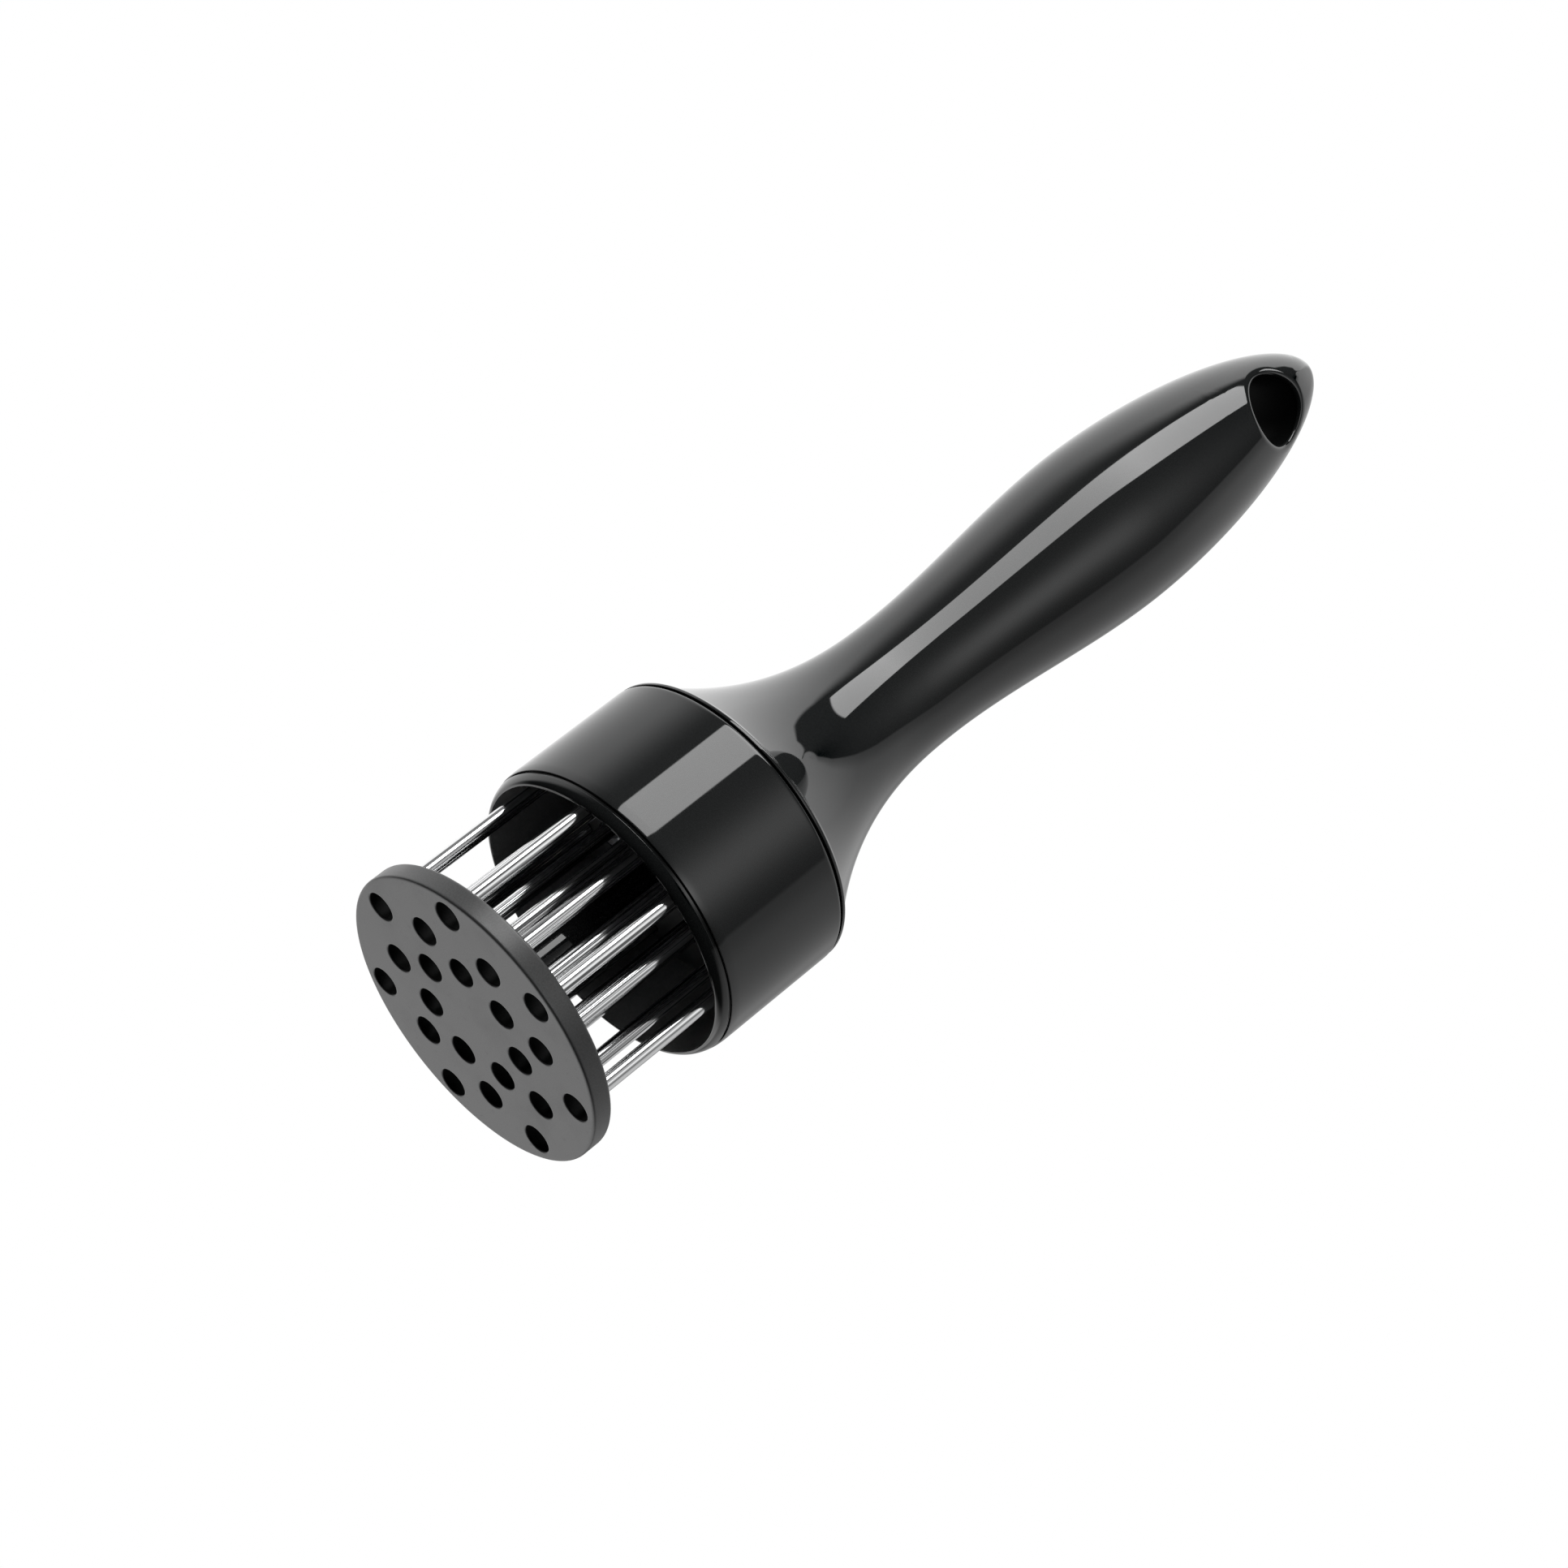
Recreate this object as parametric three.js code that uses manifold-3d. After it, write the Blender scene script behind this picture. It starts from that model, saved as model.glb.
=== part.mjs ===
// A push-type needle meat tenderizer, standing on its guard disc with the handle up.
// Millimetres, +Z up, origin at the centre of the guard disc's working face.
import * as THREE from "three";
import { mergeVertices } from "three/addons/utils/BufferGeometryUtils.js";
import Module from "manifold-3d";

const wasm = await Module();
wasm.setup();

// Clearances and cutting overruns
const seatGap = 0.3;
const runningClearance = 0.3;
const pressClearance = 0.2;
const cutOverrun = 2;

// Whole tool
const toolHeight = 190.5;
const headDiameter = 50;

// Motion of the guard
const guardTravel = 22;
const travelMargin = 0.6;

// Guard disc
const discThickness = 3;
const discEdgeRound = 0.5;
const needleHoleDiameter = 4.8;
const needleHoleChamfer = 0.3;
const stemSocketHeight = 3.5;
const stemSocketWall = 1.6;

// Needles, in three rings of seven; the middle ring is staggered by half a step
const needleDiameter = 2.5;
const needleRimWeb = 0.85;
const needleBoreWeb = 1.05;
const middleRingShare = 0.513;
const needlesPerRing = 7;
const needleRingPhase = THREE.MathUtils.degToRad(7.3);
const needlePointLength = 2.6;
const needleTipRecess = 1.4;
const needleTopChamfer = 0.3;

// Collar, the cup round the needles
const collarProud = 0.1;
const collarWall = 1.6;
const collarLength = 25.5;
const collarLipLength = 4;
const collarRearRound = 0.8;
const collarFlangeThickness = 2;
const lipGrooveSetback = 1.9;
const lipGrooveWidth = 0.4;
const lipGrooveDepth = 0.25;
const beforeGrooveShares = [0, 0.18, 0.5, 0.75];
const afterGrooveShares = [0, 0.35, 1];

// Plates that hold the needles
const needlePlateThickness = 5.7;
const clampPlateThickness = 1.2;
const plateCornerChamfer = 0.4;

// Handle
const neckDiameter = 22.1;
const neckHeight = 92;
const gripDiameter = 28.8;
const gripHeight = 139;
const bellLipRound = 0.4;
const flarePower = 2.35;
const tailFullness = 1.9;
const tailRoundness = 1.8;
const handleBoreDiameter = 16.4;

// Hang hole, across the handle's end, drafted from its middle to both mouths
const hangHoleHeight = 174.3;
const hangHoleMouthDiameter = 12.6;
const hangHoleMiddleDiameter = 10.8;

// Guard stem, its bush, stop and spring
const stemDiameter = 11;
const stemTopChamfer = 0.5;
const bushWall = 1.5;
const bushFlangeThickness = 1.5;
const bushFlangeDiameter = 15.8;
const stopWasherDiameter = 15.2;
const stopWasherThickness = 1.5;
const stopScrewDiameter = 3;
const stopScrewHeadDiameter = 6;
const stopScrewHeadHeight = 2.2;
const stopScrewReach = 10;
const springWireDiameter = 1.4;
const springMeanDiameter = 11.6;
const springLength = 52;
const springCurls = 14;
const springEndCurls = 1.5;
const springClosedGap = 0.6;

// Clamp screws, in the free places between the inner and outer rings
const clampScrewDiameter = 2.5;
const clampScrewHeadDiameter = 4.4;
const clampScrewHeadHeight = 1.8;
const clampScrewReach = 7.5;
const clampScrewSteps = [0, 2, 5];
const spigotScrewWall = 1;
const screwSlotWidth = 0.8;
const screwSlotDepth = 0.8;
const screwHeadChamferShare = 0.25;
const pilotOverDepth = 0.8;

// How finely round shapes are cut into facets
const bodyFacets = 48;
const stemFacets = 32;
const washerFacets = 24;
const hangHoleFacets = 24;
const screwFacets = 12;
const plateHoleFacets = 10;
const discHoleFacets = 12;
const needleFacets = 10;
const springStepsPerCurl = 8;
const springSides = 5;

// How many steps each curved outline takes
const bellSteps = 9;
const gripSteps = 7;
const tailSteps = 10;
const hangHoleSteps = 6;
const collarRoundSteps = 3;
const discRoundSteps = 2;
const bellSpacingPower = 1.4;

// Heights along the tool, from the surface that it stands on
const discBackZ = discThickness;
const collarMouthZ = discBackZ + guardTravel + travelMargin;
const collarTopZ = collarMouthZ + collarLength;
const collarFlangeZ = collarTopZ - collarFlangeThickness;
const bellUndersideZ = collarTopZ + seatGap;
const clampPlateTopZ = collarFlangeZ - seatGap;
const clampPlateBottomZ = clampPlateTopZ - clampPlateThickness;
const needlePlateTopZ = clampPlateBottomZ - seatGap;
const needlePlateBottomZ = needlePlateTopZ - needlePlateThickness;
const spigotBottomZ = clampPlateTopZ + seatGap;
const bushFlangeTopZ = spigotBottomZ + bushFlangeThickness;
const washerBottomZ = bushFlangeTopZ + seatGap;
const washerTopZ = washerBottomZ + stopWasherThickness;
const stemBottomZ = discBackZ + seatGap;
const stemTopZ = washerBottomZ - seatGap;
const springBottomZ = washerTopZ + seatGap;
const springTopZ = springBottomZ + springLength;
const boreTopZ = springTopZ + seatGap;

// Radii that neighbours share
const discRadius = headDiameter / 2;
const collarRadius = discRadius + collarProud;
const collarInnerRadius = collarRadius - collarWall;
const plateRadius = collarInnerRadius - seatGap;
const handleBoreRadius = handleBoreDiameter / 2;
const stemRadius = stemDiameter / 2;
const bushInnerRadius = stemRadius + runningClearance;
const bushOuterRadius = bushInnerRadius + bushWall;
const plateBoreRadius = bushOuterRadius + pressClearance;
const needleRadius = needleDiameter / 2;
const innerRingRadius = plateBoreRadius + needleBoreWeb + needleRadius;
const outerRingRadius = plateRadius - needleRimWeb - needleRadius;
const middleRingRadius = innerRingRadius + (outerRingRadius - innerRingRadius) * middleRingShare;
const clampScrewRadius = clampScrewDiameter / 2;
const clampScrewHeadRadius = clampScrewHeadDiameter / 2;
const clampScrewCircle = (innerRingRadius + outerRingRadius) / 2;
const spigotRadius = clampScrewCircle + clampScrewRadius + spigotScrewWall;
const collarFlangeBoreRadius = spigotRadius + seatGap;
const screwHeadRecess = clampScrewHeadHeight + seatGap;

// Finishes
const glossBlack = { color: 0x0c0d0e, roughness: 0.12, metalness: 0 };
const satinBlack = { color: 0x2b2c2d, roughness: 0.42, metalness: 0 };
const polishedSteel = { color: 0xd2d3d4, roughness: 0.14, metalness: 1 };
const springSteel = { color: 0x9a9c9f, roughness: 0.3, metalness: 1 };
const platedSteel = { color: 0xb4b6b8, roughness: 0.3, metalness: 1 };
const naturalNylon = { color: 0xd9d6cc, roughness: 0.5, metalness: 0 };

// Points of a profile in the radius and height plane
const at = (radius, height) => new THREE.Vector2(radius, height);

// A number of points from a formula of 0 to 1, both ends included
function sampled(steps, formula) {
  return Array.from({ length: steps + 1 }, (_, i) => formula(i / steps));
}

// A circle's arc from one angle to another round a centre
function arc(centre, radius, from, to, steps) {
  return sampled(steps, (t) => {
    const angle = THREE.MathUtils.lerp(from, to, t);
    return at(centre.x + radius * Math.cos(angle), centre.y + radius * Math.sin(angle));
  });
}

// A profile turned round the tool's axis
function turned(profile, facets) {
  return new THREE.LatheGeometry(profile, facets).rotateX(Math.PI / 2);
}

// A boolean solid from a closed three.js geometry
function solidOf(geometry) {
  const bare = geometry.clone();
  bare.deleteAttribute("normal");
  bare.deleteAttribute("uv");
  const merged = mergeVertices(bare);
  return new wasm.Manifold(
    new wasm.Mesh({
      numProp: 3,
      vertProperties: new Float32Array(merged.attributes.position.array),
      triVerts: new Uint32Array(merged.index.array),
    }),
  );
}

// The three.js geometry of a boolean solid
function geometryOf(solid) {
  const mesh = solid.getMesh();
  const geometry = new THREE.BufferGeometry();
  const vertices = new Float32Array(mesh.vertProperties);
  geometry.setAttribute("position", new THREE.BufferAttribute(vertices, 3));
  geometry.setIndex(new THREE.BufferAttribute(new Uint32Array(mesh.triVerts), 1));
  const flat = geometry.toNonIndexed();
  flat.computeVertexNormals();
  return flat;
}

// A body with every cutter taken away
function cut(body, cutters) {
  const left = cutters.reduce((solid, cutter) => solid.subtract(solidOf(cutter)), solidOf(body));
  return geometryOf(left);
}

// A plain round cutter between two heights
function drill(radius, bottom, top, facets) {
  return turned([at(0, bottom), at(radius, bottom), at(radius, top), at(0, top)], facets);
}

// A named mesh with its own material
function piece(name, geometry, finish) {
  const mesh = new THREE.Mesh(geometry, new THREE.MeshStandardMaterial(finish));
  mesh.name = name;
  return mesh;
}

// Where the needles stand: ring by ring, with the middle ring staggered
function needlePlaces() {
  const step = (2 * Math.PI) / needlesPerRing;
  return [innerRingRadius, middleRingRadius, outerRingRadius].flatMap((radius, ring) =>
    Array.from({ length: needlesPerRing }, (_, i) => {
      const angle = needleRingPhase + step * (i + (ring % 2) / 2);
      return at(radius * Math.cos(angle), radius * Math.sin(angle));
    }),
  );
}

// Where the clamp screws stand: in line with the outer needles, halfway in to the inner ones
function clampScrewPlaces() {
  const step = (2 * Math.PI) / needlesPerRing;
  return clampScrewSteps.map((i) => {
    const angle = needleRingPhase + step * i;
    return at(clampScrewCircle * Math.cos(angle), clampScrewCircle * Math.sin(angle));
  });
}

// The handle's outside as radius against height: a power-law bell flare down to the neck,
// an S-curve out to the grip, and a full rounded tail
function handleRadius(z) {
  const neck = neckDiameter / 2;
  const grip = gripDiameter / 2;
  if (z < neckHeight) {
    const share = (neckHeight - z) / (neckHeight - bellUndersideZ);
    return neck + (discRadius - neck) * share ** flarePower;
  }
  if (z < gripHeight) {
    return neck + (grip - neck) * THREE.MathUtils.smoothstep(z, neckHeight, gripHeight);
  }
  const share = Math.min((z - gripHeight) / (toolHeight - gripHeight), 1);
  return grip * (1 - share ** tailFullness) ** (1 / tailRoundness);
}

// Handle: one moulding with a spigot, a blind spring bore, screw pilots and a hang hole
function handle() {
  const outside = (from, to, steps, spacing) =>
    sampled(steps, (t) => {
      const z = THREE.MathUtils.lerp(from, to, spacing(t));
      return at(handleRadius(z), z);
    });
  const evenly = (t) => t;
  const closerAtEnd = (t) => Math.sin((t * Math.PI) / 2);
  const closerAtStart = (t) => t ** bellSpacingPower;
  const lipTopZ = bellUndersideZ + bellLipRound;
  const profile = [
    at(0, boreTopZ),
    at(handleBoreRadius, boreTopZ),
    at(handleBoreRadius, spigotBottomZ),
    at(spigotRadius, spigotBottomZ),
    at(spigotRadius, bellUndersideZ),
    at(handleRadius(lipTopZ) - bellLipRound, bellUndersideZ),
    ...outside(lipTopZ, neckHeight, bellSteps, closerAtStart),
    ...outside(neckHeight, gripHeight, gripSteps, evenly).slice(1),
    ...outside(gripHeight, toolHeight, tailSteps, closerAtEnd).slice(1, -1),
    at(0, toolHeight),
  ];
  const pilots = clampScrewPlaces().map((place) =>
    drill(
      clampScrewRadius + pressClearance,
      spigotBottomZ - cutOverrun,
      spigotBottomZ + clampScrewReach + pilotOverDepth,
      screwFacets,
    ).translate(place.x, place.y, 0),
  );
  const moulding = cut(turned(profile, bodyFacets), [...pilots, hangHoleCutter()]);
  return piece("handle", moulding, glossBlack);
}

// The hang hole's cutter lies along Y: narrowest at the handle's axis, drafted to both mouths
function hangHoleCutter() {
  const middle = hangHoleMiddleDiameter / 2;
  const mouth = hangHoleMouthDiameter / 2;
  const mouthPlace = handleRadius(hangHoleHeight);
  const end = mouthPlace + cutOverrun;
  const draft = (y) => middle + (mouth - middle) * (y / mouthPlace) ** 2;
  const wall = sampled(hangHoleSteps, (t) => {
    const y = THREE.MathUtils.lerp(-end, end, t);
    return at(draft(y), y);
  });
  const profile = [at(0, -end), ...wall, at(0, end)];
  return new THREE.LatheGeometry(profile, hangHoleFacets).translate(0, 0, hangHoleHeight);
}

// Collar: a straight round cup wall with a long rounded lip, a fine groove in the lip,
// a small round at the rear edge and an inward flange that the clamp plate holds
function collar() {
  const lipEndZ = collarMouthZ + collarLipLength;
  const lipRadius = (z) => {
    const share = (lipEndZ - z) / collarLipLength;
    return collarInnerRadius + collarWall * Math.sqrt(1 - share ** 2);
  };
  const lip = (from, to, shares) =>
    shares.map((share) => {
      const z = THREE.MathUtils.lerp(from, to, share);
      return at(lipRadius(z), z);
    });
  const grooveZ = collarMouthZ + lipGrooveSetback;
  const grooveTopZ = grooveZ + lipGrooveWidth;
  const beforeGroove = lip(collarMouthZ, grooveZ, beforeGrooveShares);
  const rearRoundCentre = at(collarRadius - collarRearRound, collarTopZ - collarRearRound);
  const profile = [
    ...beforeGroove,
    at(lipRadius(grooveZ), grooveZ),
    at(lipRadius(grooveZ) - lipGrooveDepth, grooveZ),
    at(lipRadius(grooveTopZ) - lipGrooveDepth, grooveTopZ),
    ...lip(grooveTopZ, lipEndZ, afterGrooveShares),
    ...arc(rearRoundCentre, collarRearRound, 0, Math.PI / 2, collarRoundSteps),
    at(collarFlangeBoreRadius, collarTopZ),
    at(collarFlangeBoreRadius, collarFlangeZ),
    at(collarInnerRadius, collarFlangeZ),
    beforeGroove[0],
  ];
  return piece("collar", turned(profile, bodyFacets), glossBlack);
}

// Needle plate: the round block that grips the needles, with counterbored screw holes
function needlePlate() {
  const profile = [
    at(plateBoreRadius, needlePlateBottomZ),
    at(plateRadius - plateCornerChamfer, needlePlateBottomZ),
    at(plateRadius, needlePlateBottomZ + plateCornerChamfer),
    at(plateRadius, needlePlateTopZ),
    at(plateBoreRadius, needlePlateTopZ),
    at(plateBoreRadius, needlePlateBottomZ),
  ];
  const below = needlePlateBottomZ - cutOverrun;
  const above = needlePlateTopZ + cutOverrun;
  const recessTopZ = needlePlateBottomZ + screwHeadRecess;
  const needleHoles = needlePlaces().map((place) =>
    drill(needleRadius + pressClearance, below, above, plateHoleFacets).translate(place.x, place.y, 0),
  );
  const screwHoles = clampScrewPlaces().flatMap((place) => [
    drill(clampScrewRadius + pressClearance, below, above, screwFacets).translate(place.x, place.y, 0),
    drill(clampScrewHeadRadius + pressClearance, below, recessTopZ, screwFacets).translate(
      place.x,
      place.y,
      0,
    ),
  ]);
  const block = cut(turned(profile, bodyFacets), [...needleHoles, ...screwHoles]);
  return piece("needle_plate", block, satinBlack);
}

// Clamp plate: the steel disc that the needles' tops bear on
function clampPlate() {
  const profile = [
    at(plateBoreRadius, clampPlateBottomZ),
    at(plateRadius, clampPlateBottomZ),
    at(plateRadius, clampPlateTopZ),
    at(plateBoreRadius, clampPlateTopZ),
    at(plateBoreRadius, clampPlateBottomZ),
  ];
  const holes = clampScrewPlaces().map((place) =>
    drill(
      clampScrewRadius + pressClearance,
      clampPlateBottomZ - cutOverrun,
      clampPlateTopZ + cutOverrun,
      screwFacets,
    ).translate(place.x, place.y, 0),
  );
  return piece("clamp_plate", cut(turned(profile, bodyFacets), holes), platedSteel);
}

// One needle: a sharp cone, a straight shank and a chamfered top under the clamp plate
function needle(name, place) {
  const topZ = needlePlateTopZ;
  const profile = [
    at(0, needleTipRecess),
    at(needleRadius, needleTipRecess + needlePointLength),
    at(needleRadius, topZ - needleTopChamfer),
    at(needleRadius - needleTopChamfer, topZ),
    at(0, topZ),
  ];
  const mesh = piece(name, turned(profile, needleFacets), polishedSteel);
  mesh.position.set(place.x, place.y, 0);
  return mesh;
}

// A slotted screw along Z with its head at the bottom
function screw(shankRadius, headRadius, headHeight, headZ, tipZ) {
  const chamfer = headHeight * screwHeadChamferShare;
  const profile = [
    at(0, headZ),
    at(headRadius - chamfer, headZ),
    at(headRadius, headZ + chamfer),
    at(headRadius, headZ + headHeight),
    at(shankRadius, headZ + headHeight),
    at(shankRadius, tipZ - shankRadius),
    at(0, tipZ),
  ];
  const slot = new THREE.BoxGeometry(
    headRadius * 2 + cutOverrun,
    screwSlotWidth,
    screwSlotDepth + cutOverrun,
  ).translate(0, 0, headZ + (screwSlotDepth - cutOverrun) / 2);
  return cut(turned(profile, screwFacets), [slot]);
}

// Clamp screws: from under the needle plate, through both plates, into the handle
function clampScrews() {
  return clampScrewPlaces().map((place, i) => {
    const geometry = screw(
      clampScrewRadius,
      clampScrewHeadRadius,
      clampScrewHeadHeight,
      needlePlateBottomZ,
      spigotBottomZ + clampScrewReach,
    );
    const mesh = piece(`clamp_screw_${i + 1}`, geometry, platedSteel);
    mesh.position.set(place.x, place.y, 0);
    return mesh;
  });
}

// Guide bush: a nylon sleeve through both plates, hung by its flange on the clamp plate
function guideBush() {
  const flangeRadius = bushFlangeDiameter / 2;
  const profile = [
    at(bushInnerRadius, needlePlateBottomZ),
    at(bushOuterRadius, needlePlateBottomZ),
    at(bushOuterRadius, spigotBottomZ),
    at(flangeRadius, spigotBottomZ),
    at(flangeRadius, bushFlangeTopZ),
    at(bushInnerRadius, bushFlangeTopZ),
    at(bushInnerRadius, needlePlateBottomZ),
  ];
  return piece("guide_bush", turned(profile, stemFacets), naturalNylon);
}

// Guard disc: a round plate with a chamfered hole for each needle and a socket for the stem
function guardDisc() {
  const quarter = Math.PI / 2;
  const socketInner = stemRadius + pressClearance;
  const socketOuter = socketInner + stemSocketWall;
  const socketTopZ = discBackZ + stemSocketHeight;
  const edge = discRadius - discEdgeRound;
  const profile = [
    at(0, 0),
    ...arc(at(edge, discEdgeRound), discEdgeRound, -quarter, 0, discRoundSteps),
    ...arc(at(edge, discBackZ - discEdgeRound), discEdgeRound, 0, quarter, discRoundSteps),
    at(socketOuter, discBackZ),
    at(socketOuter, socketTopZ),
    at(socketInner, socketTopZ),
    at(socketInner, discBackZ),
    at(0, discBackZ),
  ];
  const holeRadius = needleHoleDiameter / 2;
  const holes = needlePlaces().map((place) =>
    turned(
      [
        at(0, -cutOverrun),
        at(holeRadius + needleHoleChamfer + cutOverrun, -cutOverrun),
        at(holeRadius, needleHoleChamfer),
        at(holeRadius, discBackZ + cutOverrun),
        at(0, discBackZ + cutOverrun),
      ],
      discHoleFacets,
    ).translate(place.x, place.y, 0),
  );
  return piece("guard_disc", cut(turned(profile, bodyFacets), holes), satinBlack);
}

// Guard stem: the post that stands in the disc's socket and slides in the bush
function guardStem() {
  const screwHoleRadius = stopScrewDiameter / 2 + pressClearance;
  const screwHoleZ = stemTopZ - stopScrewReach - pilotOverDepth;
  const profile = [
    at(0, stemBottomZ),
    at(stemRadius - stemTopChamfer, stemBottomZ),
    at(stemRadius, stemBottomZ + stemTopChamfer),
    at(stemRadius, stemTopZ - stemTopChamfer),
    at(stemRadius - stemTopChamfer, stemTopZ),
    at(screwHoleRadius, stemTopZ),
    at(screwHoleRadius, screwHoleZ),
    at(0, screwHoleZ),
  ];
  return piece("guard_stem", turned(profile, stemFacets), glossBlack);
}

// Stop washer: wider than the bush's bore, it keeps the guard from being pushed off
function stopWasher() {
  const outer = stopWasherDiameter / 2;
  const inner = stopScrewDiameter / 2 + pressClearance;
  const profile = [
    at(inner, washerBottomZ),
    at(outer, washerBottomZ),
    at(outer, washerTopZ),
    at(inner, washerTopZ),
    at(inner, washerBottomZ),
  ];
  return piece("stop_washer", turned(profile, washerFacets), platedSteel);
}

// Stop screw: head up, through the washer into the stem
function stopScrew() {
  const headZ = washerTopZ + seatGap;
  const length = stopScrewHeadHeight + headZ - stemTopZ + stopScrewReach;
  const geometry = screw(
    stopScrewDiameter / 2,
    stopScrewHeadDiameter / 2,
    stopScrewHeadHeight,
    0,
    length,
  )
    .rotateX(Math.PI)
    .translate(0, 0, headZ + stopScrewHeadHeight);
  return piece("stop_screw", geometry, platedSteel);
}

// The spring's centre line: closed curls at both ends, an even pitch between them
class SpringLine extends THREE.Curve {
  getPoint(t, target = new THREE.Vector3()) {
    const angle = 2 * Math.PI * springCurls * t;
    return target.set(
      (springMeanDiameter / 2) * Math.cos(angle),
      (springMeanDiameter / 2) * Math.sin(angle),
      springHeight(springCurls * t),
    );
  }
}

// Height of the wire's centre after a number of curls from the bottom
function springHeight(curls) {
  const closedPitch = springWireDiameter + springClosedGap;
  const climb = springLength - springWireDiameter - closedPitch * springCurls;
  const openCurls = springCurls - 2 * springEndCurls;
  const share = THREE.MathUtils.clamp((curls - springEndCurls) / openCurls, 0, 1);
  return springBottomZ + springWireDiameter / 2 + closedPitch * curls + climb * share;
}

// Return spring: one unbroken tube, pushing the stop washer down from the end of the bore
function returnSpring() {
  const side = (i) => (2 * Math.PI * i) / springSides;
  const radius = springWireDiameter / 2;
  const corner = (i) => at(radius * Math.cos(side(i)), radius * Math.sin(side(i)));
  const section = new THREE.Shape(Array.from({ length: springSides }, (_, i) => corner(i)));
  const geometry = new THREE.ExtrudeGeometry(section, {
    steps: springCurls * springStepsPerCurl,
    extrudePath: new SpringLine(),
    bevelEnabled: false,
  });
  console.log("return_spring least gap to itself", leastSpringGap(geometry).toFixed(2), "mm");
  return piece("return_spring", geometry, springSteel);
}

// The least distance between points of the tube that lie more than half a curl apart
function leastSpringGap(geometry) {
  const halfCurl = 1 / 2;
  const position = geometry.attributes.position;
  const points = [];
  for (let i = 0; i < position.count; i += 1) {
    const point = new THREE.Vector3().fromBufferAttribute(position, i);
    const turn = Math.atan2(point.y, point.x) / (2 * Math.PI);
    points.push({ point, turn, curls: curlsAtHeight(point.z, turn) });
  }
  let least = Infinity;
  for (const a of points) {
    for (const b of points) {
      if (b.curls - a.curls > halfCurl) least = Math.min(least, a.point.distanceTo(b.point));
    }
  }
  return least;
}

// How many curls up the wire a point is, from its height and its turn round the axis
function curlsAtHeight(z, turn) {
  const whole = Array.from({ length: springCurls + 2 }, (_, i) => i - 1 + turn);
  const away = (curls) => Math.abs(springHeight(curls) - z);
  return whole.reduce((best, curls) => (away(curls) < away(best) ? curls : best));
}

// The tool: what is fixed to the handle, and the guard that slides in it
const fixedAssembly = new THREE.Group();
fixedAssembly.add(handle(), collar(), needlePlate(), clampPlate(), guideBush());
fixedAssembly.add(...clampScrews(), returnSpring());
needlePlaces().forEach((place, i) => {
  fixedAssembly.add(needle(`needle_${String(i + 1).padStart(2, "0")}`, place));
});

const guard = new THREE.Group();
guard.add(guardDisc(), guardStem(), stopWasher(), stopScrew());

const tenderizer = new THREE.Group();
tenderizer.add(fixedAssembly, guard);

export default tenderizer;
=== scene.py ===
# A push-type needle meat tenderizer: its finished pieces, their materials and the studio.
import math
from functools import partial

import bmesh
import bpy
import numpy as np
from bpy.props import FloatProperty, FloatVectorProperty, IntProperty, PointerProperty
from mathutils import Matrix, Vector
from mathutils.geometry import delaunay_2d_cdt


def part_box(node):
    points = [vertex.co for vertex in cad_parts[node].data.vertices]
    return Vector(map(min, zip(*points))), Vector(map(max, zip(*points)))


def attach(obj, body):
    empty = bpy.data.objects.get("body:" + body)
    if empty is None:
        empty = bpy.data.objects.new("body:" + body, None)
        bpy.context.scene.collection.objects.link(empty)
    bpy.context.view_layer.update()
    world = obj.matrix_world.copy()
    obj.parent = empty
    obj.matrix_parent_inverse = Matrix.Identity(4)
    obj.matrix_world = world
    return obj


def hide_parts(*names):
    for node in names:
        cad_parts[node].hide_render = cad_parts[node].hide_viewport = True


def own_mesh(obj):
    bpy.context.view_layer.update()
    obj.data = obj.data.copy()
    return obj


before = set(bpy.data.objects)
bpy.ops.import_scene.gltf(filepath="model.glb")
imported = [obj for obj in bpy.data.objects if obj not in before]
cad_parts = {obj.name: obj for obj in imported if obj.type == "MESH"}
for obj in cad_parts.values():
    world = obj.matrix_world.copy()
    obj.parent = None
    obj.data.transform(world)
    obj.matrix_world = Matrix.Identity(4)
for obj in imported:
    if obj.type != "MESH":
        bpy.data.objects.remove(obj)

bl_info = {
    "name": "Needle Meat Tenderizer",
    "version": (1, 0, 0),
    "blender": (4, 5, 0),
    "location": "View3D > Sidebar > Tenderizer",
    "description": "Makes the finished pieces of a needle tenderizer and sets up its studio",
    "category": "Add Mesh",
}

MM = 0.001
FULL_TURN = 2 * math.pi
SEAT_GAP = 0.3 * MM
TEST_MARGIN = 0.02 * MM
MERGE_DISTANCE = 0.0001 * MM
SHARP_ANGLE = math.radians(42)
FIXED_BODY = "handle_assembly"
GUARD_BODY = "guard"
NEEDLES = sorted(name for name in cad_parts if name[:-2] == "needle_")
CLAMP_SCREWS = sorted(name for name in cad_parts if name[:-1] == "clamp_screw_")
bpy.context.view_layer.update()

# Facets round each turned surface, and points on each rounded edge
HANDLE_SIDES = 168
COLLAR_SIDES = 192
DISC_SIDES = 144
DISC_EDGE_STEPS = 9
DISC_HOLE_SIDES = 40
PLATE_SIDES = 128
PLATE_EDGE_STEPS = 6
SMALL_HOLE_SIDES = 24
BUSH_SIDES = 64
SCREW_SIDES = 40
NEEDLE_SIDES = 32

# Part of the handle's height that the rings round the hang hole replace
HOLE_PATCH = 162 * MM, 187.3 * MM


# Places and sizes read from the frame


def bottom_of(node):
    """Height of a CAD node's lowest point"""
    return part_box(node)[0].z


def top_of(node):
    """Height of a CAD node's highest point"""
    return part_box(node)[1].z


def extent(node):
    """Radius, lowest and highest point of a round CAD node"""
    low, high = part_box(node)
    return max(high.x - low.x, high.y - low.y) / 2, low.z, high.z


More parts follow.
